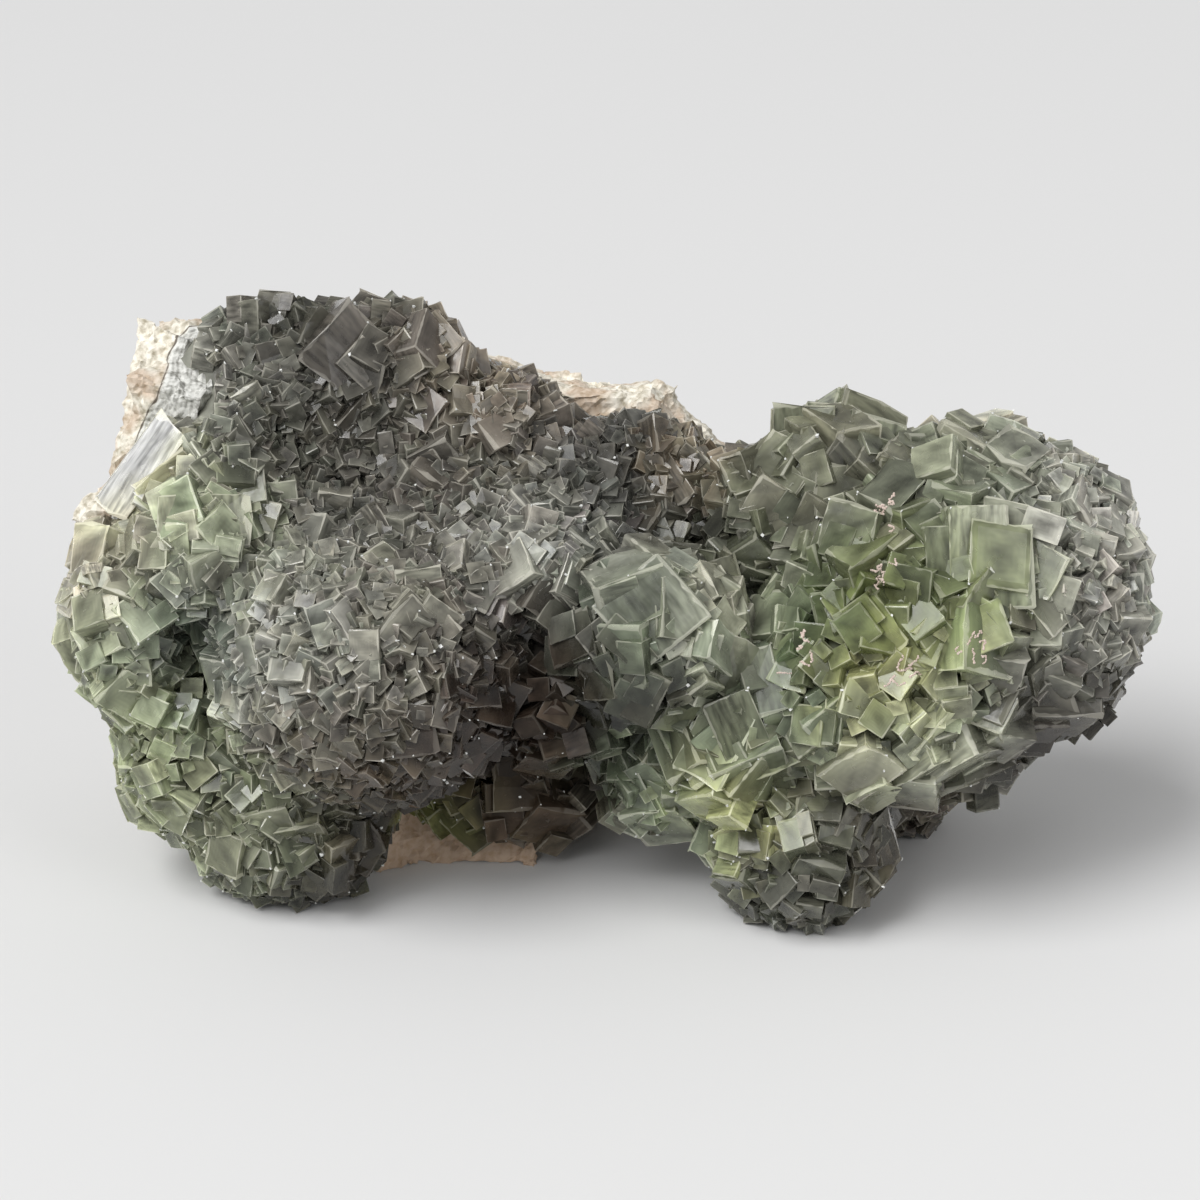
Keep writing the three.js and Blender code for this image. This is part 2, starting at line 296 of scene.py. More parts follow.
def layer_values(points):
    """Layer values of draft points: along the outer edge on the bare strip, by distance elsewhere."""
    inward = points[:, 0] - STRIP_TOP[0] + STRIP_LEAN * (STRIP_TOP[1] - points[:, 2])
    share = np.interp(-points[:, 0], STRIP_STARTS["left"], (0, 1))
    share *= np.interp(points[:, 2], STRIP_STARTS["up"], (0, 1))
    share *= np.interp(-points[:, 1], STRIP_STARTS["front"], (0, 1))
    elsewhere = np.maximum(skin_distance(points), CREAM_START) + LINE_LAYER
    return share * (LINE_LAYER + CREAM_WIDTH - inward) + (1 - share) * elsewhere


layers = layer_values(to_draft(corners_of(rock.data)))
add_values(rock.data, "layer_mm", "FLOAT", layers)
print("layer values from", layers.min().round(1), "to", layers.max().round(1))

# %% [markdown]
# The cubes keep clear of the rock where it shows. The distance to it is looked up in a tree of the
# solid's triangles. Near an edge, the nearest triangle alone can't tell inside from outside, so a line
# out of the point is followed too, and the times that it crosses the surface are counted.

# %% Distance to the rock
TEST_LINE = Vector((0.1, 1, 0.2)).normalized()  # slanted, so that it runs along no face of the slab
PAST_HIT = 0.01  # mm past one crossing from which the next is looked for


def in_rock(start):
    """Whether a line out of a point crosses the rock's surface an odd number of times."""
    crossings = 0
    hit = rock_tree.ray_cast(start, TEST_LINE)[0]
    while hit is not None:
        crossings += 1
        hit = rock_tree.ray_cast(hit + TEST_LINE * PAST_HIT * MM, TEST_LINE)[0]
    return crossings % 2 == 1


def rock_distance(points):
    """Distance of points in draft millimetres to the rock, negative inside it."""
    distances = []
    for point in to_frame(points):
        start = Vector(point)
        nearest, normal, _, gap = rock_tree.find_nearest(start)
        inside = (start - nearest).dot(normal) < 0 and in_rock(start)
        distances.append((-gap if inside else gap) / MM)
    return np.array(distances)


foot_gap = rock_distance(lobes["mid_foot"]["centre"][None])[0]
print("from the middle foot's centre to the rock", round(foot_gap, 1), "mm")

# %% [markdown]
# The body of the crust fills the space behind the cubes, so that no gap between them opens onto
# nothing. It could be a copy of the solid, but that has cubes of its own. So balls scaled to the lobes
# are wrapped in one even skin, whose corners then slide onto the formula's skin.

# %% The body of the crust
BODY_VOXEL = 2.0 * MM
BODY_LEVEL = -0.6  # mm; just under the skin
BODY_SLIDES = 6  # times that the corners are moved towards that level


def body_of_crust():
    """All lobes as one even skin."""
    shape = bmesh.new()
    for lobe in lobes.values():
        place = Matrix.Translation(to_frame(lobe["centre"])) @ Matrix.Diagonal((*lobe["radii"] * MM, 1))
        bmesh.ops.create_icosphere(shape, subdivisions=3, radius=1, matrix=place)
    piece = remeshed(piece_from_bmesh("crust_body", shape), BODY_VOXEL)
    corners = to_frame(onto_skin(to_draft(corners_of(piece.data)), BODY_LEVEL, BODY_SLIDES))
    corners[:, 2] = np.maximum(corners[:, 2], 0)
    move_corners(piece.data, corners)
    return piece


body = body_of_crust()
print("body skin", len(body.data.polygons), "faces")

# %% [markdown]
# Fluorite's colour lies in zones that pass through several cubes. A colour of its own for each cube
# would look like confetti. So each zone is a place on the crust, a reach and a colour, and every corner
# of every cube takes the mix of the zones around it. The dark zones in the gaps, recesses and undersides
# are painted shade, some of them over a brown colour of their own.

# %% Colour zones
# name: draft place and reach in mm, then the sRGB colour
ZONES = {
    "basin": ((-38, 2, 76), 19, "626059"),
    "basin_side": ((-28, -6, 72), 14, "5f5d55"),
    "basin_left": ((-58, 2, 81), 11, "504e47"),
    "saddle": ((6, 4, 74), 16, "444340"),
    "saddle_edge": ((15, 8, 75), 6.5, "a08c72"),
    # painted shade in the gap beside the saddle
    "saddle_gap_painted_shade": ((19, -3, 66), 6, "0c0c09"),
    "rim_left": ((-69, 7, 88), 9, "a6a79b"),
    "rim_crystals": ((-52, 14, 94), 12, "4e4d45"),
    # painted shadow under the overhanging ridge cube
    "rim_painted_shadow": ((-40, 10, 88), 9, "383733"),
    "rim_brown": ((-22, 14, 88), 13, "857a6b"),
    "belly_light": ((-48, -28, 60), 18, "9a9b91"),
    "belly_mid": ((-38, -26, 66), 13, "7a7669"),
    "belly_low": ((-42, -34, 40), 14, "483b2d"),
    # brown, and painted shade on the belly's side turned down and away from the light
    "belly_brown_and_shade": ((-21, -24, 48), 14, "3b2b24"),
    "left_foot": ((-62, -24, 24), 13, "7f836d"),
    # dark brown, and painted shade low on the foot's side
    "foot_side_brown_and_shade": ((-42, -22, 16), 13, "27201a"),
    "left_edge_green": ((-78, -10, 30), 13, "8d9374"),
    "bulb_green": ((-83, -16, 53), 11, "9da289"),
    "bulb_brown": ((-84, -8, 64), 8, "a09789"),
    # teal, and painted shade in the crevice beside the bulb
    "crevice_teal_and_shade": ((-73, -13, 54), 9, "2c3a3c"),
    "shelf_green": ((-66, -11, 73), 10, "9ba185"),
    "cleaved_plate": ((-79, 0, 79), 7.5, "ecebc8"),
    "bumps_grey": ((-12, -12, 70), 12, "a5a59b"),
    "front_plate": ((6, -26, 62), 11, "6f7563"),
    # painted shade under the front plate
    "plate_low_painted_shade": ((0, -28, 51), 11, "0e100a"),
    "plate_right": ((19, -20, 60), 9, "b0b09f"),
    # brown, and painted shade under the middle of the crust
    "under_brown_and_shade": ((-9, -21, 43), 16, "110b06"),
    # painted shade at the lower edge of the middle's underside
    "under_edge_painted_shade": ((-4, -22, 37), 10, "0b0704"),
    # brown, and painted shade on the middle foot in the hollow
    "middle_foot_brown_and_shade": ((-16, -3, 20), 16, "32271f"),
    # painted shade in the recess under the middle
    "middle_recess_painted_shade": ((-12, -5, 30), 12, "170f07"),
    "middle_foot_olive": ((-33, 2, 12), 9, "5f6236"),
    "right_top": ((38, 6, 80), 14, "6b6b59"),
    "right_neck": ((26, 0, 66), 10, "53563f"),
    "right_shoulder": ((58, 0, 76), 14, "707463"),
    "green_heart": ((47, -21, 64), 11, "525a34"),
    "green_square": ((62, -20, 66), 9, "79835a"),
    "yellow_heart": ((46, -29, 52), 9, "94965f"),
    "right_teal": ((32, -18, 56), 9, "566742"),
    "right_low": ((52, -30, 42), 10, "a1a58f"),
    "right_end": ((82, -8, 62), 16, "a5a59a"),
    # brown, and painted shade on the underside of the round lobe's end
    "right_end_brown_and_shade": ((78, -12, 42), 15, "302a23"),
    "leg_teal": ((10, -14, 29), 11, "848f78"),
    "leg_green": ((22, -22, 28), 9, "a5a774"),
    "leg_face": ((27, -25, 40), 9, "6b735f"),
    "right_foot": ((34, -26, 17), 12, "57584d"),
    "foot_brown": ((46, -14, 16), 12, "453d33"),
    "knob": ((64, 22, 66), 10, "dfd6bc"),
    "back_foot": ((56, 12, 14), 10, "655a4e"),
    "back": ((40, 26, 44), 30, "7d7f74"),
}
BASE_TINT = "7b7d72"
BASE_WEIGHT = 0.03  # of the base tint everywhere, where a zone weighs 1 at its place
# Painted shade and light: a cube's tint is darkest at the skin, deep between the cubes, and lighter at its
# tips.
SKIN_SHADE = 0.5  # brightness of a cube's tint at the skin
SHADE_RISE = 0.17  # what it gains for each mm further out
SHADE_LIMITS = (0.35, 1.2)


def linear(hex_colour):
    """An sRGB hex colour as linear red, green and blue."""
    parts = [int(hex_colour[i : i + 2], 16) / 255 for i in (0, 2, 4)]
    return np.array([p / 12.92 if p <= 0.04045 else ((p + 0.055) / 1.055) ** 2.4 for p in parts])


def zone_tint_and_shade(points):
    """The mix of zone colours, with their painted shade, at points in draft millimetres."""
    total = np.full(len(points), BASE_WEIGHT)
    mixed = np.outer(total, linear(BASE_TINT))
    for centre, reach, colour in ZONES.values():
        square = ((points - np.array(centre)) ** 2).sum(axis=1)
        weight = np.exp(-square / reach**2)
        total += weight
        mixed += weight[:, None] * linear(colour)
    return mixed / total[:, None]


def painted_depth_shade(points):
    """Painted shade deep between the cubes and painted light at their tips, for points in draft millimetres.
    """
    return np.clip(SKIN_SHADE + SHADE_RISE * skin_distance(points), *SHADE_LIMITS)


print(len(ZONES), "colour zones")

# %% [markdown]
# Templates give the cubes their faces. Each of the thousands of cubes could be shaped on its own, but
# that would take minutes, so four templates are shaped once and then copied. A small cube has a narrow
# flat along every edge, which shows as the thin pale line of the real crystals. A large cube's faces
# are also divided in four, so that each copy can be a little uneven. A stepped cube has a low frame
# around some faces, left by the last layers to grow, and a chip is a bare cube.

# %% Cube templates
SHARP_ANGLE = 0.1  # radians; an edge that turns less lies within a flat face
SQUARE_ON = 0.99  # the largest part of a normal, on faces that look along an axis


def bevel_edges(shape, edges, width):
    """Cuts a narrow flat along edges."""
    flat = {"segments": 1, "profile": 0.5, "material": -1}
    bmesh.ops.bevel(shape, geom=edges, affect="EDGES", offset=width, offset_type="OFFSET", **flat)


def template_of(shape, unevenness):
    """A template's corners and faces as arrays. The bmesh is freed."""
    bmesh.ops.recalc_face_normals(shape, faces=shape.faces)
    shape.verts.ensure_lookup_table()
    corners = np.array([vert.co[:] for vert in shape.verts])
    axis = np.abs(corners).argmax(axis=1)
    template = {
        "corners": corners,
        "sides": 2 * axis + (corners[np.arange(len(corners)), axis] > 0),
        "loops": np.array([vert.index for face in shape.faces for vert in face.verts]),
        "counts": np.array([len(face.verts) for face in shape.faces]),
        "unevenness": unevenness,
    }
    shape.free()
    return template


def cube_template(cuts, bevel, unevenness):
    """A unit cube with its faces divided and a narrow flat along every edge."""
    shape = bmesh.new()
    bmesh.ops.create_cube(shape, size=1)
    if cuts:
        bmesh.ops.subdivide_edges(shape, edges=shape.edges, cuts=cuts, use_grid_fill=True)
    sharp = [edge for edge in shape.edges if edge.calc_face_angle() > SHARP_ANGLE]
    if bevel:
        bevel_edges(shape, sharp, bevel)
    return template_of(shape, unevenness)


def stepped_template(bevel, frame_width, rise, unevenness):
    """A unit cube with a low frame around the three faces that look along +X, +Y and +Z."""
    shape = bmesh.new()
    bmesh.ops.create_cube(shape, size=1)
    bevel_edges(shape, shape.edges[:], bevel)
    raised = [face for face in shape.faces if max(face.normal) > SQUARE_ON]
    bmesh.ops.inset_individual(shape, faces=raised, thickness=frame_width, depth=rise)
    return template_of(shape, unevenness)


# All widths are shares of the cube's edge.
TEMPLATES = {
    "chip": cube_template(cuts=0, bevel=0, unevenness=0.1),
    "small": cube_template(cuts=0, bevel=0.03, unevenness=0.016),
    "large": cube_template(cuts=1, bevel=0.016, unevenness=0.028),
    "stepped": stepped_template(bevel=0.016, frame_width=0.13, rise=0.02, unevenness=0.006),
}
for name, template in TEMPLATES.items():
    print(name, len(template["corners"]), "corners", len(template["counts"]), "faces")

# %% [markdown]
# Crystals cover a druse evenly, but not in rows. Places drawn at random would clump, and a grid would
# show. So places lie on a spiral around each lobe, which is even on any ball, are then moved a little
# by chance, and give way where they come too near to earlier ones.

# %% Even places on the skin
GOLDEN_ANGLE = math.pi * (3 - math.sqrt(5))
SKIN_LEVEL = 1.0  # mm that the skin under the cubes lies above the lobes
FARTHEST = 6.0  # mm off the skin from which a place on a lobe is still moved onto it
AREA_POWER = 1.6  # of a formula for an ellipsoid's area that is close for any radii
PLACES_TRIED = 1.5  # for each place that fits on the area
JITTER = 0.18  # of the spacing, by which chance moves a place
chance = np.random.default_rng(11)


def area_of(shape):
    """The area of a lobe or hollow in square millimetres."""
    a, b, c = shape["radii"] ** AREA_POWER
    return 4 * math.pi * ((a * b + a * c + b * c) / 3) ** (1 / AREA_POWER)


def spread(shape, spacing):
    """Even places on one lobe or hollow, where it is part of the skin."""
    index = np.arange(int(PLACES_TRIED * area_of(shape) / spacing**2))
    rise = 1 - (2 * index + 1) / len(index)
    ring = np.sqrt(1 - rise**2)
    turn = GOLDEN_ANGLE * index
    ball = np.stack([ring * np.cos(turn), ring * np.sin(turn), rise], axis=1)
    places = ball * shape["radii"] + shape["centre"]
    places = places[np.abs(skin_distance(places)) < FARTHEST]
    places = places + chance.normal(0, JITTER * spacing, places.shape)
    return onto_skin(places, SKIN_LEVEL)


def thinned(places, gaps):
    """Which places stay when none may be nearer to an earlier one than its gap."""
    cell = max(gaps)
    grid = {}
    kept = []
    steps = [(x, y, z) for x in (-1, 0, 1) for y in (-1, 0, 1) for z in (-1, 0, 1)]
    for i, place in enumerate(places):
        key = tuple((place // cell).astype(int))
        around = [j for x, y, z in steps for j in grid.get((key[0] + x, key[1] + y, key[2] + z), ())]
        if not around or ((places[around] - place) ** 2).sum(axis=1).min() > gaps[i] ** 2:
            grid.setdefault(key, []).append(i)
            kept.append(i)
    return np.array(kept)


print("the lobes' skins add up to", round(sum(area_of(lobe) for lobe in lobes.values()) / 100), "square cm")

# %% [markdown]
# The cubes come in three generations, as on the specimen: large ones first, then smaller ones in the
# gaps between them. All are sunk into the skin by part of their edge. They could be one crowd of mixed
# sizes, but then the small ones would take the places of the large.

# %% Three generations of cubes
REST_HEIGHT = 1.0  # draft height of the surface that the specimen lies on
FLOOR_CLEARANCE = 0.8  # mm that a cube's place keeps from that surface
ROCK_CLEARANCE = 0.6  # mm that it keeps from the rock
STRIP_CLEARANCE = 3.7  # the same at the bare strip of rock on the upper left
STRIP_CORNER = (-64, 66)  # draft x and z of the strip's inner lower corner
BODY_JITTER = 0.5  # mm by which chance moves a place that is taken from the body
SMALL_BIAS = 1.5  # above 1, more edges lie near the shortest
LOW_SHARE = 0.5  # of its edge that a cube keeps where the specimen stands
LOW_HEIGHT = 20  # mm; at half this height a cube keeps its whole edge
LONGEST_EDGE = 10.5  # mm, but for the standing cubes


def on_strip(places):
    """Which places lie by the bare strip of rock on the upper left."""
    return (places[:, 0] < STRIP_CORNER[0]) & (places[:, 2] > STRIP_CORNER[1])


def places_on_body():
    """Places all over the body's skin, each with the lobe or hollow that it belongs to."""
    places = to_draft(corners_of(body.data))
    places = onto_skin(places + chance.normal(0, BODY_JITTER, places.shape), SKIN_LEVEL)
    off = np.stack([np.abs(ellipsoid_distance(places, shape)) for shape in shapes.values()])
    return places, np.array(list(shapes))[off.argmin(axis=0)]


def generation(shortest, longest, gap, sink):
    """One generation of cubes, with edges between two shares of each lobe's usual edge."""
    found = {name: spread(shape, gap * shape["cube"]) for name, shape in shapes.items()}
    left_over, left_owners = places_on_body()
    owners = np.concatenate([[name] * len(places) for name, places in found.items()] + [left_owners])
    places = np.concatenate([*found.values(), left_over])
    clearance = np.where(on_strip(places), STRIP_CLEARANCE, ROCK_CLEARANCE)
    clear = (places[:, 2] > REST_HEIGHT + FLOOR_CLEARANCE) & (rock_distance(places) > clearance)
    owners, places = owners[clear], places[clear]
    cubes = np.array([shapes[owner]["cube"] for owner in owners])
    kept = thinned(places, gap * cubes)
    places, owners, cubes = places[kept], owners[kept], cubes[kept]
    edges = cubes * (shortest + (longest - shortest) * chance.random(len(kept)) ** SMALL_BIAS)
    edges *= np.clip(LOW_SHARE + (places[:, 2] - REST_HEIGHT) / LOW_HEIGHT, LOW_SHARE, 1)
    edges = np.minimum(edges, LONGEST_EDGE)
    normals = outward(places)
    return {
        "places": places - normals * (sink * edges)[:, None],
        "normals": normals,
        "edges": edges,
        "turns": np.array([shapes[owner]["turn"] for owner in owners]),
        "owners": owners,
    }


generations = {
    "large": generation(shortest=0.9, longest=1.75, gap=0.9, sink=0.34),
    "medium": generation(shortest=0.55, longest=0.95, gap=0.55, sink=0.24),
    "small": generation(shortest=0.3, longest=0.55, gap=0.46, sink=0.12),
}
for name, cubes in generations.items():
    edges = cubes["edges"]
    print(name, len(edges), "cubes, edges of", edges.min().round(1), "to", edges.max().round(1), "mm")

# %% [markdown]
# Cubes that all lay flat on the skin would look like tiles, and cubes turned at random would hide
# their corners in it. So a cube's turn is found from two directions. In the cube's own frame, one lies
# between the middle of a face and a corner. It is laid onto the outward direction, and the cube then
# spins about it. Every cube is also a little longer one way than another and slightly out of square.

# %% Turning and placing cubes
SKEW = 0.02  # how far a cube may be out of square
SIDE_CONTRAST = 0.28  # how much lighter or darker one side of a cube may be than the next
STEEP = 0.9  # upright part of a direction, above which its other axes start from another helper
LEAN = (0.1, 1.0)  # how far a corner may turn out, as shares of its lobe's number


def frames_about(directions, spins):
    """For each direction, three axes at right angles, the first along it."""
    steep = np.abs(directions[:, 2:3]) > STEEP
    helper = np.where(steep, [[1.0, 0.0, 0.0]], [[0.0, 0.0, 1.0]])
    across = np.cross(helper, directions)
    across /= np.linalg.norm(across, axis=1, keepdims=True)
    up = np.cross(directions, across)
    cos, sin = np.cos(spins)[:, None], np.sin(spins)[:, None]
    return np.stack([directions, cos * across + sin * up, cos * up - sin * across], axis=2)


def cube_turns(normals, turns):
    """Rotations that point each cube somewhere between a face and a corner out of the skin."""
    count = len(normals)
    lean = chance.uniform(*LEAN, (count, 2)) * turns[:, None]
    own = np.concatenate([np.ones((count, 1)), lean], axis=1)
    own /= np.linalg.norm(own, axis=1, keepdims=True)
    outer = frames_about(normals, chance.uniform(0, 2 * math.pi, count))
    inner = frames_about(own, np.zeros(count))
    return outer @ np.transpose(inner, (0, 2, 1))


def copies_of(kind, places, rotations, sizes, shades):
    """Many copies of a template: each copy's corners in draft millimetres, and its shade."""
    template = TEMPLATES[kind]
    count, corners = len(places), len(template["corners"])
    uneven = chance.normal(0, template["unevenness"], (count, corners, 3))
    skew = np.eye(3) + chance.normal(0, SKEW, (count, 3, 3))
    shaped = (template["corners"][None] + uneven) * sizes[:, None, :]
    shaped = np.einsum("nij,nkj->nki", skew, shaped)
    placed = np.einsum("nij,nkj->nki", rotations, shaped) + places[:, None, :]
    by_side = shades[:, None] * chance.uniform(1 - SIDE_CONTRAST, 1 + SIDE_CONTRAST, (count, 6))
    return {"template": template, "corners": placed, "shades": by_side[:, template["sides"]]}


upright = frames_about(np.array([[0.0, 0.0, 1.0]]), np.zeros(1))[0]
print("axes about the upright direction, in columns", upright.round(1).tolist())

# %% [markdown]
# Thousands of objects would be slow, so the copies of a region become one mesh. Each corner keeps
# three things. The first is the zone's tint at its place, a little lighter or darker for each cube, with
# painted shade deep down and painted light at the tips. The second is how pale that tint is, which says
# how whitish the cube's edges look. The third is where the corner sits in its own cube, from which the
# finish finds edges and layers.

# %% Joining the copies of a region
FLOOR_GAP = 0.02  # mm that no corner goes below
TINT_DRIFT = 2.5  # mm by which a whole cube's colour may come from beside its place
TINT_GAIN = 1.5  # a clear cube must be paler than it looks, as its tint works on light going in and out
HUE_DRIFT = 0.02  # by which a cube's red, green and blue may each stray
MOST_TINT = 0.85  # of white, paler than which no crystal is
PALE_TINT = 0.25  # of white, from which a crystal's edges are fully whitish


def mesh_of_copies(name, batches):
    """One mesh from batches of copies."""
    loops, counts, offset = [], [], 0
    for batch in batches:
        template, corners = batch["template"], batch["corners"]
        count, per_copy = corners.shape[:2]
        starts = offset + per_copy * np.arange(count)
        loops.append((starts[:, None] + template["loops"][None]).ravel())
        counts.append(np.tile(template["counts"], count))
        offset += count * per_copy
    loops, counts = np.concatenate(loops), np.concatenate(counts)
    mesh = bpy.data.meshes.new(name)
    mesh.vertices.add(offset)
    mesh.loops.add(len(loops))
    mesh.polygons.add(len(counts))
    mesh.loops.foreach_set("vertex_index", loops.astype(np.int32))
    mesh.polygons.foreach_set("loop_start", (np.cumsum(counts) - counts).astype(np.int32))
    corners = np.concatenate([batch["corners"].reshape(-1, 3) for batch in batches])
    corners[:, 2] = np.maximum(corners[:, 2], REST_HEIGHT + FLOOR_GAP)
    mesh.vertices.foreach_set("co", to_frame(corners).astype(np.float32).ravel())
    mesh.update(calc_edges=True)
    mesh.shade_flat()
    return new_piece(name, mesh), corners


def druse(name, batches):
    """A mesh of copies with a tint and painted shade, its paleness and an own place for each corner."""
    piece, corners = mesh_of_copies(name, batches)
    drift, hues, shades, own = [], [], [], []
    for batch in batches:
        count, per_copy = batch["corners"].shape[:2]
        drift.append(np.repeat(chance.normal(0, TINT_DRIFT, (count, 3)), per_copy, axis=0))
        hues.append(np.repeat(chance.normal(1, HUE_DRIFT, (count, 3)), per_copy, axis=0))
        shades.append(batch["shades"].ravel())
        own.append(np.tile(batch["template"]["corners"], (count, 1)))
    tint_and_shade = zone_tint_and_shade(corners + np.concatenate(drift)) * np.concatenate(hues)
    # per-cube brightness, then painted shade deep down and painted light at the tips
    tint_and_shade *= (TINT_GAIN * np.concatenate(shades) * painted_depth_shade(corners))[:, None]
    tint_and_shade = np.clip(tint_and_shade, 0, MOST_TINT)
    add_values(piece.data, "tint_and_shade", "FLOAT_COLOR", np.c_[tint_and_shade, np.ones(len(tint_and_shade))])
    add_values(piece.data, "paleness", "FLOAT", np.minimum(tint_and_shade.mean(axis=1) / PALE_TINT, 1))
    add_values(piece.data, "own", "FLOAT_VECTOR", np.concatenate(own))
    return piece


print("zone tint of", BASE_TINT, "is", linear(BASE_TINT).round(2).tolist(), "in linear light")

# %% [markdown]
# A druse is a field of crystals on a common base. One mesh for the whole crust would be slow to change
# and past the limit on triangles, so each region of it is a piece. Its large cubes carry smaller ones
# that share their turn, as crystals do where one grew on from another.

# %% The druses, region by region
REGIONS = {
    "druse_foot": ("left_foot", "left_bulb", "left_lower", "left_shelf"),
    "druse_belly": ("left_belly",),
    "druse_back": ("left_mass",),
    "druse_basin": ("basin", "rim_top", "rim_peak", "rim_slope"),
    "druse_middle": ("mid_mass", "saddle", "saddle_basin", "mid_bumps", "mid_front"),
    "druse_under": ("mid_under", "mid_foot", "mid_neck"),
    "druse_round": ("right_core", "right_top", "right_neck", "right_shoulder", "right_belly"),
    "druse_end": ("right_end", "right_low_end", "right_lower", "back_knob", "right_back"),
    "druse_legs": ("leg_upper", "right_foot", "leg_left", "back_foot"),
}
SIDES = (0.72, 1.28)  # a cube's three sides, as shares of its edge
SHADES = (0.78, 1.22)  # brightness of a whole cube's tint
STEPPED_SHARE = 0.1  # of the large cubes
CLUSTER_EDGE = 4.2  # mm; larger cubes carry smaller ones grown parallel to them
MOST_GROWN = 3  # smaller ones on one cube
GROWN_SIZE = (0.35, 0.8)  # of their host's
GROWN_SIDES = (0.85, 1.15)  # of that size, each way
GROWN_KEPT = 0.4  # of its side; at 1 it would keep within its host's face, and here it hangs over a little
GROWN_PROUD = (0.02, 0.08)  # of the host's side, by which they stand out of its face
GROWN_SHADES = (0.85, 1.2)


def grown_on(places, rotations, sizes):
    """Smaller cubes that share the turn of a large one and stand a little out of its faces."""
    hosts = np.repeat(np.arange(len(places)), chance.integers(1, MOST_GROWN + 1, len(places)))
    count = len(hosts)
    small = sizes[hosts] * chance.uniform(*GROWN_SIZE, (count, 1)) * chance.uniform(*GROWN_SIDES, (count, 3))
    shift = chance.uniform(-0.5, 0.5, (count, 3)) * (sizes[hosts] - GROWN_KEPT * small)
    face = chance.integers(3, size=count)
    rows = np.arange(count)
    side = chance.choice([-1, 1], count)
    proud = chance.uniform(*GROWN_PROUD, count) * sizes[hosts, face]
    shift[rows, face] = side * ((sizes[hosts, face] - small[rows, face]) / 2 + proud)
    where = places[hosts] + np.einsum("nij,nj->ni", rotations[hosts], shift)
    return copies_of("small", where, rotations[hosts], small, chance.uniform(*GROWN_SHADES, count))


def batches_for(owners):
    """The batches of a region, with stepped cubes and smaller parallel ones among the large."""
    made = []
    for name, cubes in generations.items():
        mine = np.isin(cubes["owners"], owners)
        places, edges = cubes["places"][mine], cubes["edges"][mine]
        rotations = cube_turns(cubes["normals"][mine], cubes["turns"][mine])
        sizes = edges[:, None] * chance.uniform(*SIDES, (len(edges), 3))
        shades = chance.uniform(*SHADES, len(edges))
        if name != "large":
            made.append(copies_of("small", places, rotations, sizes, shades))
            continue
        stepped = chance.random(len(edges)) < STEPPED_SHARE
        for kind, chosen in (("large", ~stepped), ("stepped", stepped)):
            made.append(copies_of(kind, places[chosen], rotations[chosen], sizes[chosen], shades[chosen]))
        big = edges > CLUSTER_EDGE
        made.append(grown_on(places[big], rotations[big], sizes[big]))
    return made


druses = [druse(name, batches_for(owners)) for name, owners in REGIONS.items()]
for piece in druses:
    print(piece.name, len(piece.data.polygons), "faces")

# %% [markdown]
# A few cubes stand out by their size, and the eye knows the specimen by them: the plate at the front,
# the square green cube on the round lobe, the blocks on its top, and the pale cleaved plate at the left.
# No formula would put them there, so a row of numbers places each of them.

# %% The cubes that stand out
# name: draft place on the skin, the way the front face looks, its spin in degrees, and the size in mm
# across, up and into the crust
STANDING = {
    "front_plate": ((8, -25, 63), (-0.1, -0.85, 0.5), 42, (14, 14, 12)),
    "twin_cube": ((63.5, -19, 68), (0.2, -0.87, 0.45), 2, (16, 14, 12)),
    "top_block": ((34.5, 6, 79), (-0.1, -0.9, 0.35), -3, (11, 14, 14)),
    "top_block_right": ((46, 6, 78), (0.3, -0.85, 0.4), -14, (10, 12, 12)),
    "shoulder_plate": ((55, 3, 75), (0.1, -0.5, 0.86), 4, (12, 9, 8)),
    "pale_face": ((54, -27, 58), (0.1, -0.92, 0.3), 40, (9, 9, 8)),
    "green_prism": ((26, -22, 48), (-0.3, -0.8, 0.5), 15, (9, 12, 9)),
    "leg_face": ((27, -25, 40), (0.1, -0.95, 0.25), 22, (12, 13, 12)),
    "shelf_cube": ((-67, -12, 73), (0.1, -0.8, 0.55), 6, (15, 9, 9)),
    "cleaved_plate": ((-78, 0, 78), (-0.3, -0.8, 0.5), -38, (7, 18, 6)),
    "ridge_cube": ((-43, 10, 95), (0.3, -0.85, 0.35), 47, (13, 13, 13)),
    "saddle_facet": ((12, 5, 74), (-0.5, -0.75, 0.45), 35, (5, 10, 6)),
    "knob_cube": ((64, 20, 67), (0.1, -0.85, 0.5), -8, (9, 8, 9)),
}
FRAMED = ("twin_cube", "front_plate")  # these have a low frame around the front face
FRONT_RISE = 1.5  # mm that the front face stands above its place


def standing_batches():
    """The large cubes, each with its front face proud of the skin, and smaller ones grown on them."""
    places, turns, sizes = [], [], []
    framed = np.isin(list(STANDING), FRAMED)
    for place, looks, spin, size in STANDING.values():
        direction = np.array(looks, float) / np.linalg.norm(looks)
        across = np.array([1.0, 0, 0]) - direction[0] * direction
        across /= np.linalg.norm(across)
        basis = np.stack([across, np.cross(direction, across), direction], axis=1)
        turns.append(basis @ np.array(Matrix.Rotation(math.radians(spin), 3, "Z")))
        places.append(np.array(place) + direction * (FRONT_RISE - size[2] / 2))
        sizes.append(size)
    places, turns, sizes = np.array(places, float), np.array(turns), np.array(sizes, float)
    made = [grown_on(places, turns, sizes)]
    for kind, chosen in (("large", ~framed), ("stepped", framed)):
        made.append(copies_of(kind, places[chosen], turns[chosen], sizes[chosen], np.ones(chosen.sum())))
    return made


druses.append(druse("standing_cubes", standing_batches()))
print("large cubes standing out:", len(STANDING), "with", len(druses[-1].data.polygons), "faces")

# %% [markdown]
# Broken corners and cleavage flakes catch the light as tiny white sparkles. Here the chips are white
# in themselves, partly as whitish broken flakes and partly as painted glint. Bright dots in the finish
# would slide under the edges, so they are small chips set on the outermost corners of the cubes.

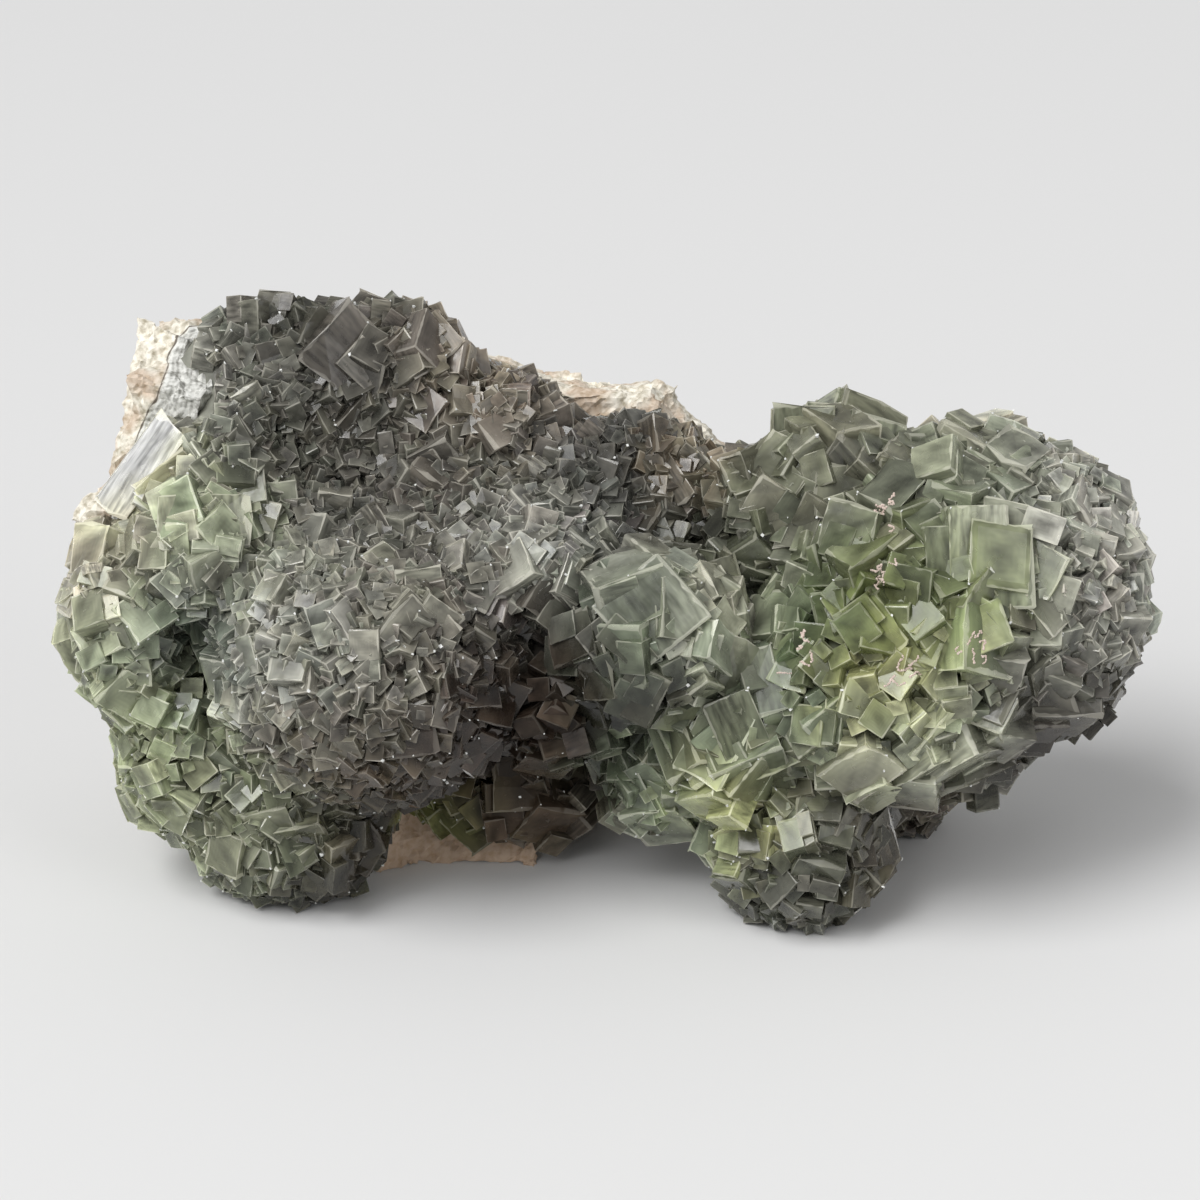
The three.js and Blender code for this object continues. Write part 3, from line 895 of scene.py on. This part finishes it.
# %% Sparkling chips
CHIP_COUNT = 900
CORNERS_TRIED = 12  # for each chip
CHIP_LEVEL = 2.2  # mm off the lobes, beyond which a corner may carry a chip
CHIP_FLOOR_GAP = 2  # mm that chips keep from the surface below
CHIP_SIDES = (0.15, 0.6)  # mm
CHIP_SHRINK = (0.5, 1.0)


def sparkling_chips():
    """Tiny flakes on the outer corners of the cubes."""
    corners = np.concatenate([to_draft(corners_of(piece.data)) for piece in druses])
    corners = corners[chance.choice(len(corners), CORNERS_TRIED * CHIP_COUNT, replace=False)]
    corners = corners[skin_distance(corners) > CHIP_LEVEL][:CHIP_COUNT]
    corners = corners[corners[:, 2] > REST_HEIGHT + CHIP_FLOOR_GAP]
    count = len(corners)
    turns = frames_about(outward(corners), chance.uniform(0, 2 * math.pi, count))
    sizes = chance.uniform(*CHIP_SIDES, (count, 3)) * chance.uniform(*CHIP_SHRINK, (count, 1))
    piece, _ = mesh_of_copies("sparkling_chips", [copies_of("chip", corners, turns, sizes, np.ones(count))])
    return piece


chips = sparkling_chips()
print("chips", len(chips.data.polygons), "faces")

# %% [markdown]
# A little pinkish clay sticks in a few gaps of the round lobe, in short crooked threads. Curves with a
# round section would leave the cubes at every step between them. So each thread is a row of tiny balls,
# and each ball lies where a look straight down meets a cube.

# %% Clay threads
CLAY_PLACES = ((47, -20, 67.5), (60, -25.5, 57), (34.5, -23, 54), (48, -12.5, 73), (50, -28, 53))
THREADS_PER_PLACE = 6
BALLS_PER_THREAD = 9
BALL_RADIUS = 0.22  # mm
BALL_SIZES = (0.6, 1.3)  # of that radius
BALL_STEP = 0.3  # mm from one ball of a thread to the next
THREAD_SCATTER = 1.2  # mm from the clay's place to where a thread starts
THREAD_BEND = 0.8  # radians that a thread turns from ball to ball
LOOK_HEIGHT = 12  # mm above the clay's place, from which the cubes are looked for


def clay_threads():
    """Crooked rows of tiny balls on the surface of the cubes."""
    ground = bmesh.new()
    for piece in druses:
        ground.from_mesh(piece.data)
    tree = BVHTree.FromBMesh(ground)
    ground.free()
    shape = bmesh.new()
    for place in CLAY_PLACES:
        normal = outward(np.array([place], float))[0]
        axes = frames_about(normal[None], np.zeros(1))[0]
        for _ in range(THREADS_PER_PLACE):
            spot, heading = chance.normal(0, THREAD_SCATTER, 2), chance.uniform(0, 2 * math.pi)
            for _ in range(BALLS_PER_THREAD):
                heading += chance.normal(0, THREAD_BEND)
                spot = spot + BALL_STEP * np.array([math.cos(heading), math.sin(heading)])
                start = np.array(place) + spot @ axes[:, 1:].T + LOOK_HEIGHT * normal
                hit = tree.ray_cast(Vector(to_frame(start)), Vector(-normal), 2 * LOOK_HEIGHT * MM)[0]
                if hit is None:
                    continue
                size = BALL_RADIUS * MM * chance.uniform(*BALL_SIZES)
                bmesh.ops.create_icosphere(shape, subdivisions=1, radius=size, matrix=Matrix.Translation(hit))
    return piece_from_bmesh("clay_threads", shape)


clay = clay_threads()
print("clay", len(clay.data.polygons), "faces")

# %% [markdown]
# A finish is a graph of small nodes. Setting each one up takes four or five lines, so one function adds
# a node, sets its values and links its inputs, and a finish then reads as a list of steps. Colours are
# written as the screen shows them, and turned to linear light before a node gets them.

# %% Helpers for finishes
def add_node(tree, kind, settings=None, links=None):
    """Adds a node, sets its properties and input values, and links its inputs to sockets or to nodes."""
    node = tree.nodes.new("ShaderNode" + kind)
    for key, value in (settings or {}).items():
        if isinstance(key, int) or key in node.inputs:
            node.inputs[key].default_value = value
        else:
            setattr(node, key, value)
    for key, source in (links or {}).items():
        socket = source.outputs[0] if isinstance(source, bpy.types.Node) else source
        tree.links.new(socket, node.inputs[key])
    return node


def new_material(name):
    """A material with an empty node tree."""
    material = bpy.data.materials.new(name)
    material.use_nodes = True
    material.node_tree.nodes.clear()
    return material, material.node_tree


def rgba(hex_colour):
    """An sRGB hex colour as a linear colour with full cover."""
    return (*linear(hex_colour), 1)


# %% [markdown]
# A cube's faces are pale along their edges, so the finish has to know how near a point is to the edge
# of its face. A painted line would need a map for each cube. But every corner keeps where it sits in
# its own cube: on a face one of these three numbers is a half, and the next largest tells how near the
# edge is. A slight waviness keeps the lines from looking ruled.

# %% Nearness to a cube's edge
WAVE_WIDTH = 1.6 * MM
WAVE_HEIGHT = 0.07  # of the cube's edge


def edge_nearness(tree, own, wave):
    """How near a point is to its face's edge: about nought in the middle, about a half at the edge."""
    sides = add_node(tree, "VectorMath", {"operation": "ABSOLUTE"}, {0: own})
    x, y, z = add_node(tree, "SeparateXYZ", None, {0: sides}).outputs
    xy_high = add_node(tree, "Math", {"operation": "MAXIMUM"}, {0: x, 1: y})
    xy_low = add_node(tree, "Math", {"operation": "MINIMUM"}, {0: x, 1: y})
    z_or_low = add_node(tree, "Math", {"operation": "MAXIMUM"}, {0: z, 1: xy_low})
    ruled = add_node(tree, "Math", {"operation": "MINIMUM"}, {0: xy_high, 1: z_or_low})
    return add_node(tree, "Math", {"operation": "MULTIPLY_ADD", 1: WAVE_HEIGHT}, {0: wave, 2: ruled})


# %% [markdown]
# Fluorite grows in layers parallel to its faces, which show as faint lines along the edges. It is also
# full of veils, thin cloudy sheets along one pair of a cube's faces and different in each cube. Sheets
# could be modelled inside, but the eye only sees where the tint is stronger or weaker.

# %% Growth layers and veils
LAYER_WAVE = 60.0  # radians for a whole side, so about five layers from a face's middle to its edge
LAYER_SHADE = 0.04  # how much a layer changes the tint
VEIL_SIZE = 7 * MM
VEIL_CHANGE = (8.0, 1.3, 1.3)  # how fast the veils change across a cube and along it


def tint_strength(tree, own, place, nearness):
    """How strong the tint is at a point of a cube."""
    from_middle = {"From Min": 0.12, "From Max": 0.5, "To Min": 0.75, "To Max": 1.15}
    deep = add_node(tree, "MapRange", from_middle, {"Value": nearness})
    layers = add_node(tree, "Math", {"operation": "MULTIPLY", 1: LAYER_WAVE}, {0: nearness})
    layers = add_node(tree, "Math", {"operation": "SINE"}, {0: layers})
    deep = add_node(tree, "Math", {"operation": "MULTIPLY_ADD", 1: LAYER_SHADE}, {0: layers, 2: deep})
    slow = add_node(tree, "VectorMath", {"operation": "SCALE", "Scale": 1 / VEIL_SIZE}, {0: place})
    sheets = add_node(tree, "VectorMath", {"operation": "MULTIPLY_ADD", 1: VEIL_CHANGE}, {0: own, 2: slow})
    veils = add_node(tree, "TexNoise", {"Scale": 1.0, "Detail": 2.0}, {"Vector": sheets})
    veil_shades = {"From Min": 0.3, "From Max": 0.7, "To Min": 0.5, "To Max": 1.5}
    veil = add_node(tree, "MapRange", veil_shades, {"Value": veils})
    return add_node(tree, "Math", {"operation": "MULTIPLY"}, {0: deep, 1: veil})


# %% [markdown]
# Fluorite is clear but cloudy. Light enters a cube, is tinted on its way, and part of it comes back from
# the veils inside. Clear glass alone would look empty, and a painted block dead, so the finish is partly
# each: it has the mineral's own refractive index and lets part of the light through, and the rest is
# the cloudy part, which takes the zone's tint with its painted shade. Under the crust the crystals
# mirror less and let less through, as painted shade that keeps them dark.

# %% The fluorite finishes
FLUORITE_IOR = 1.434
ABSORPTION = 60.0  # at this density a centimetre of crystal takes a quarter to a third of the light
EDGE_WHITE = "afaca2"  # what a pale edge adds to the tint
EDGE_TINT = (1.1, 1.1, 1.1)  # how much of the tint it keeps


def fluorite_material(name, absorbs, lustre, clearness):
    """Grown fluorite: a glassy lustre, a tint from inside that carries painted shade, pale edges, growth
    layers and veils.
    """
    material, tree = new_material(name)
    place = add_node(tree, "TexCoord").outputs["Object"]
    tint_and_shade = add_node(tree, "Attribute", {"attribute_name": "tint_and_shade"}).outputs["Color"]
    own = add_node(tree, "Attribute", {"attribute_name": "own"}).outputs["Vector"]
    paleness = add_node(tree, "Attribute", {"attribute_name": "paleness"}).outputs["Fac"]
    wave = add_node(tree, "TexNoise", {"Scale": 1 / WAVE_WIDTH, "Detail": 0.0}, {"Vector": place})
    nearness = edge_nearness(tree, own, wave)
    strength = tint_strength(tree, own, place, nearness)
    cloudy = add_node(tree, "VectorMath", {"operation": "SCALE"}, {0: tint_and_shade, "Scale": strength})
    # Edges are whitish where the tint is light, and stay dark in the recesses, where the tint carries painted
    # shade.
    white = {"operation": "SCALE", 0: tuple(linear(EDGE_WHITE))}
    white = add_node(tree, "VectorMath", white, {"Scale": paleness})
    pale = add_node(tree, "VectorMath", {"operation": "MULTIPLY_ADD", 1: EDGE_TINT}, {0: tint_and_shade, 2: white})
    edge_line = {"From Min": 0.499, "From Max": 0.511, "To Min": 0.0, "To Max": 0.8}
    edge = add_node(tree, "MapRange", edge_line, {"Value": nearness})
    colour = add_node(tree, "Mix", {"data_type": "RGBA"}, {0: edge, 6: cloudy, 7: pale}).outputs[2]
    etched = {"From Min": 0.3, "From Max": 0.7, "To Min": 0.08, "To Max": 0.28}
    rough = add_node(tree, "MapRange", etched, {"Value": wave})
    gloss = {"IOR": FLUORITE_IOR, "Transmission Weight": clearness, "Specular IOR Level": lustre}
    shaders = {"Surface": add_node(tree, "BsdfPrincipled", gloss, {"Base Color": colour, "Roughness": rough})}
    if absorbs:
        inside = {"Color": rgba(absorbs), "Density": ABSORPTION}
        shaders["Volume"] = add_node(tree, "VolumeAbsorption", inside)
    add_node(tree, "OutputMaterial", None, shaders)
    return material


clear_fluorite = fluorite_material("clear green fluorite", "b4bda6", lustre=0.5, clearness=0.4)
milky_fluorite = fluorite_material("milky grey fluorite", None, lustre=0.5, clearness=0.4)
# duller and less clear under the crust: painted shade that keeps the underside dark
dulled_underside_fluorite = fluorite_material("underside fluorite, dulled for painted shade", None, lustre=0.12, clearness=0.1)
print("a fluorite finish has", len(clear_fluorite.node_tree.nodes), "nodes")

# %% [markdown]
# Behind the clear cubes lies the cloudy core of the crust. It is the same mineral, so thick and full
# of veils that no light passes. It takes the same zones of colour and painted shade, so that it never
# shows as a lining.

# %% The cloudy core
def core_material():
    """Massive cloudy fluorite behind the cubes, veiled in patches and slightly waxy."""
    material, tree = new_material("veined fluorite core")
    place = add_node(tree, "TexCoord").outputs["Object"]
    tint_and_shade = add_node(tree, "Attribute", {"attribute_name": "tint_and_shade"}).outputs["Color"]
    veils = add_node(tree, "TexNoise", {"Scale": 1 / (5 * MM), "Detail": 5.0}, {"Vector": place})
    veil_shades = {"From Min": 0.3, "From Max": 0.7, "To Min": 0.5, "To Max": 1.1}
    strength = add_node(tree, "MapRange", veil_shades, {"Value": veils})
    colour = add_node(tree, "VectorMath", {"operation": "SCALE"}, {0: tint_and_shade, "Scale": strength})
    bump = add_node(tree, "Bump", {"Strength": 0.4, "Distance": 0.5 * MM}, {"Height": veils})
    waxy = {"Roughness": 0.5, "IOR": FLUORITE_IOR}
    surface = add_node(tree, "BsdfPrincipled", waxy, {"Base Color": colour, "Normal": bump})
    add_node(tree, "OutputMaterial", None, {"Surface": surface})
    return material


# the core's tint, with the zones' painted shade
body_tint_and_shade = zone_tint_and_shade(to_draft(corners_of(body.data)))
add_values(body.data, "tint_and_shade", "FLOAT_COLOR", np.c_[body_tint_and_shade, np.ones(len(body_tint_and_shade))])
print("the core's mean tint", body_tint_and_shade.mean(axis=0).round(2).tolist())

# %% [markdown]
# Two finishes are fine grains between a dark and a light colour. The chips are white and nearly glassy,
# white partly as broken flakes and partly as painted glint, so a chip flashes. Dry clay is pinkish and
# quite matt, so it shows no light of its own.

# %% The sparkles and the clay
def speckled_material(name, dark, light, grain, roughness):
    """A matt or glassy finish with fine grains between two colours."""
    material, tree = new_material(name)
    place = add_node(tree, "TexCoord").outputs["Object"]
    grains = add_node(tree, "TexNoise", {"Scale": 1 / grain, "Detail": 3.0}, {"Vector": place})
    tones = {"data_type": "RGBA", 6: rgba(dark), 7: rgba(light)}
    colour = add_node(tree, "Mix", tones, {0: grains}).outputs[2]
    bump = add_node(tree, "Bump", {"Strength": 0.3, "Distance": 0.1 * MM}, {"Height": grains})
    varied = {"Base Color": colour, "Normal": bump}
    surface = add_node(tree, "BsdfPrincipled", {"Roughness": roughness}, varied)
    add_node(tree, "OutputMaterial", None, {"Surface": surface})
    return material


# white flakes: partly whitish broken fluorite, partly painted glint
flake_and_glint_finish = speckled_material("white flakes with painted glint", "b9bcb4", "ffffff", grain=0.5 * MM, roughness=0.25)
clay_finish = speckled_material("pinkish clay", "b39a8d", "f1e3da", grain=0.6 * MM, roughness=0.9)
print("grainy finishes:", flake_and_glint_finish.name, "and", clay_finish.name)

# %% [markdown]
# The rock is stained brown in patches, and all over its foot, where it lay in the ground. A thin dark
# line runs between its grey and its cream layer, broken up into beads. Both are masks, numbers from
# nought to one that say how much of a colour shows at a point, and both could be painted by hand. But
# the line follows the layer value, so it keeps its place however the surface is chipped.

# %% Stains and the dark line
BEAD_SIZE = 1.6 * MM
STAINED_FOOT = (12 * MM, 22 * MM)  # heights between which the foot's stain fades


def stain_mask(tree, place, patches):
    """How much brown stain shows."""
    patchy = {"From Min": 0.5, "From Max": 0.66, "To Min": 0.0, "To Max": 0.55}
    brown = add_node(tree, "MapRange", patchy, {"Value": patches})
    height = add_node(tree, "SeparateXYZ", None, {0: place}).outputs["Z"]
    footed = {"From Min": STAINED_FOOT[0], "From Max": STAINED_FOOT[1], "To Min": 0.75, "To Max": 0.0}
    low = add_node(tree, "MapRange", footed, {"Value": height})
    return add_node(tree, "Math", {"operation": "MAXIMUM"}, {0: brown, 1: low})


def line_mask(tree, place, wavy):
    """How much of the dark line shows, in beads about a millimetre long."""
    beads = add_node(tree, "TexNoise", {"Scale": 1 / BEAD_SIZE, "Detail": 0.0}, {"Vector": place})
    off_line = add_node(tree, "Math", {"operation": "SUBTRACT", 1: LINE_LAYER}, {0: wavy})
    off_line = add_node(tree, "Math", {"operation": "ABSOLUTE"}, {0: off_line})
    beaded = add_node(tree, "Math", {"operation": "MULTIPLY_ADD", 1: -2.2}, {0: off_line, 2: beads})
    fading = {"From Min": 0.1, "From Max": 0.35, "To Min": 0.0, "To Max": 0.85}
    return add_node(tree, "MapRange", fading, {"Value": beaded})


# %% [markdown]
# The rock is rich in quartz and broken, so it is matt and grainy. It is cream, but for a grey bed with
# fine streaks next to the crystals of the bare strip. The layer value tells the one from the other.

# %% The host rock's finish
GRAIN_SIZE = 1.1 * MM
PATCH_SIZE = 7 * MM
LAYER_WANDER = 4.0  # mm by which the layers wander up and down
STREAK_WAVE = 6.0  # radians for each mm of layer, so about a streak a millimetre
STREAK_SHADE = 0.05
GRAIN_STOPS = (0.3, 0.6)  # values of the grain that are fully dark and fully light
CREAM_TONES = ("b0a792", "f6f1e4")
GREY_TONES = ("8c8b85", "e6e6e1")
STAIN = "b59375"
DARK_LINE = "4e4134"
BED_FADE = 0.4  # mm on each side of the line in which grey turns to cream


def rock_material():
    """Pale quartz-rich rock: cream, with a streaked grey bed behind a thin dark line."""
    material, tree = new_material("quartz host rock")
    place = add_node(tree, "TexCoord").outputs["Object"]
    layer = add_node(tree, "Attribute", {"attribute_name": "layer_mm"}).outputs["Fac"]
    grain = add_node(tree, "TexNoise", {"Scale": 1 / GRAIN_SIZE, "Detail": 6.0}, {"Vector": place})
    patches = add_node(tree, "TexNoise", {"Scale": 1 / PATCH_SIZE, "Detail": 1.5}, {"Vector": place})
    # The noise has a mean of a half, so the layers stay where they are on average.
    wavy = add_node(tree, "Math", {"operation": "MULTIPLY_ADD", 1: LAYER_WANDER}, {0: patches, 2: layer})
    wavy = add_node(tree, "Math", {"operation": "SUBTRACT", 1: LAYER_WANDER / 2}, {0: wavy})
    streak = add_node(tree, "Math", {"operation": "MULTIPLY", 1: STREAK_WAVE}, {0: wavy})
    streak = add_node(tree, "Math", {"operation": "SINE"}, {0: streak})
    streak = add_node(tree, "Math", {"operation": "MULTIPLY_ADD", 1: STREAK_SHADE}, {0: streak, 2: grain})
    cream = add_node(tree, "ValToRGB", None, {"Fac": grain})
    grey = add_node(tree, "ValToRGB", None, {"Fac": streak})
    for ramp, tones in ((cream, CREAM_TONES), (grey, GREY_TONES)):
        for element, stop, tone in zip(ramp.color_ramp.elements, GRAIN_STOPS, tones):
            element.position = stop
            element.color = rgba(tone)
    stain = stain_mask(tree, place, patches)
    stained = add_node(tree, "Mix", {"data_type": "RGBA", 7: rgba(STAIN)}, {0: stain, 6: cream}).outputs[2]
    bed_end = {"From Min": LINE_LAYER - BED_FADE, "From Max": LINE_LAYER + BED_FADE}
    share = add_node(tree, "MapRange", bed_end, {"Value": wavy})
    layered = add_node(tree, "Mix", {"data_type": "RGBA"}, {0: share, 6: grey, 7: stained}).outputs[2]
    line = line_mask(tree, place, wavy)
    lined = {"data_type": "RGBA", 7: rgba(DARK_LINE)}
    colour = add_node(tree, "Mix", lined, {0: line, 6: layered}).outputs[2]
    bump = add_node(tree, "Bump", {"Strength": 0.5, "Distance": 0.35 * MM}, {"Height": grain})
    surface = add_node(tree, "BsdfPrincipled", {"Roughness": 0.75}, {"Base Color": colour, "Normal": bump})
    add_node(tree, "OutputMaterial", None, {"Surface": surface})
    return material


rock_finish = rock_material()
print("the rock's finish has", len(rock_finish.node_tree.nodes), "nodes")

# %% [markdown]
# Last, each piece gets its finish and rides on the specimen. The cubes of the round lobe, the legs and
# the large ones are the clearest. The body and the rock's skin stand for the two solids, which are
# hidden.

# %% Putting the finishes on
FLUORITES = {
    "druse_round": clear_fluorite,
    "druse_legs": clear_fluorite,
    "standing_cubes": clear_fluorite,
    # the underside's duller finish stands for painted shade
    "druse_under": dulled_underside_fluorite,
}


def finish_piece(piece, material):
    """Gives a piece its material, and lets it ride on the specimen."""
    piece.data.materials.clear()
    piece.data.materials.append(material)
    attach(piece, "root")
    print(piece.name, sum(len(face.vertices) - 2 for face in piece.data.polygons), "triangles")


for piece in druses:
    finish_piece(piece, FLUORITES.get(piece.name, milky_fluorite))
finish_piece(chips, flake_and_glint_finish)
finish_piece(clay, clay_finish)
finish_piece(body, core_material())
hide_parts("fluorite_crust")
finish_piece(rock, rock_finish)
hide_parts("matrix_rock")

# %% [markdown]
# The specimen lies on a plain pale floor. Hard light would draw black gaps between the cubes, so it is
# soft. It comes from the upper left and the front, with a weaker lamp on the other side, so each face
# of a cube gets its own brightness.

# %% Floor and light
FLOOR_REACH = 4  # metres from the middle to each side
LAMP_AIM = Vector((0, 0, 0.05))
SOFTBOX_SIZE = 0.8  # metres; a smaller one would mirror as a hard white square
SKY_LIGHT = 0.38


def make_floor():
    """A wide pale floor of matt paper."""
    shape = bmesh.new()
    bmesh.ops.create_grid(shape, x_segments=1, y_segments=1, size=FLOOR_REACH)
    floor = piece_from_bmesh("floor", shape)
    material, tree = new_material("pale matt paper")
    surface = add_node(tree, "BsdfPrincipled", {"Base Color": rgba("dfdfdf"), "Roughness": 1.0})
    add_node(tree, "OutputMaterial", None, {"Surface": surface})
    floor.data.materials.append(material)


def add_lamp(name, kind, place, power, **settings):
    """A lamp at a place, aimed at the middle of the specimen."""
    light = bpy.data.lights.new(name, kind)
    light.energy = power
    for key, value in settings.items():
        setattr(light, key, value)
    lamp = bpy.data.objects.new(name, light)
    lamp.location = place
    lamp.rotation_euler = (LAMP_AIM - Vector(place)).to_track_quat("-Z", "Y").to_euler()
    bpy.context.scene.collection.objects.link(lamp)
    print(name, "at", place, "power", power)


make_floor()
add_lamp("soft key", "SUN", (-0.8, -0.6, 1.5), 1.9, angle=math.radians(34))
add_lamp("left softbox", "AREA", (-0.6, -1.1, 1.2), 7.0, size=SOFTBOX_SIZE)
add_lamp("right softbox", "AREA", (1.0, -0.9, 0.9), 3.5, size=SOFTBOX_SIZE)
world = bpy.data.worlds.new("studio")
world.use_nodes = True
world.node_tree.nodes["Background"].inputs["Color"].default_value = (1, 1, 1, 1)
world.node_tree.nodes["Background"].inputs["Strength"].default_value = SKY_LIGHT
bpy.context.scene.world = world
bpy.context.scene.view_settings.view_transform = "Standard"

# %% [markdown]
# The camera looks down on the specimen at 25 degrees from the front. Its distance and lens are set
# so that a millimetre at the aim point covers as many pixels as it does in the photograph.

# %% Camera
CAMERA_ELEVATION = math.radians(25)
CAMERA_DISTANCE = 650.0  # mm from the aim point
CAMERA_AIM = np.array([-0.5, 0, 53.4])  # draft mm
PHOTO_SIDE = 1200  # pixels
PIXELS_PER_MM = 5.79  # at the aim point, in the photo's own pixels
SENSOR = 36.0  # mm wide
FARTHEST_SEEN = 20  # metres


def make_camera():
    """A camera at the photo's angle, distance and scale."""
    camera = bpy.data.cameras.new("camera")
    camera.sensor_width = SENSOR
    camera.lens = SENSOR * CAMERA_DISTANCE / (PHOTO_SIDE / PIXELS_PER_MM)
    camera.clip_end = FARTHEST_SEEN
    seat = bpy.data.objects.new("camera", camera)
    back = np.array([0, -math.cos(CAMERA_ELEVATION), math.sin(CAMERA_ELEVATION)])
    seat.location = to_frame(CAMERA_AIM + CAMERA_DISTANCE * back)
    seat.rotation_euler = (math.pi / 2 - CAMERA_ELEVATION, 0, 0)
    bpy.context.scene.collection.objects.link(seat)
    bpy.context.scene.camera = seat
    print("lens", round(camera.lens, 1), "mm")


make_camera()
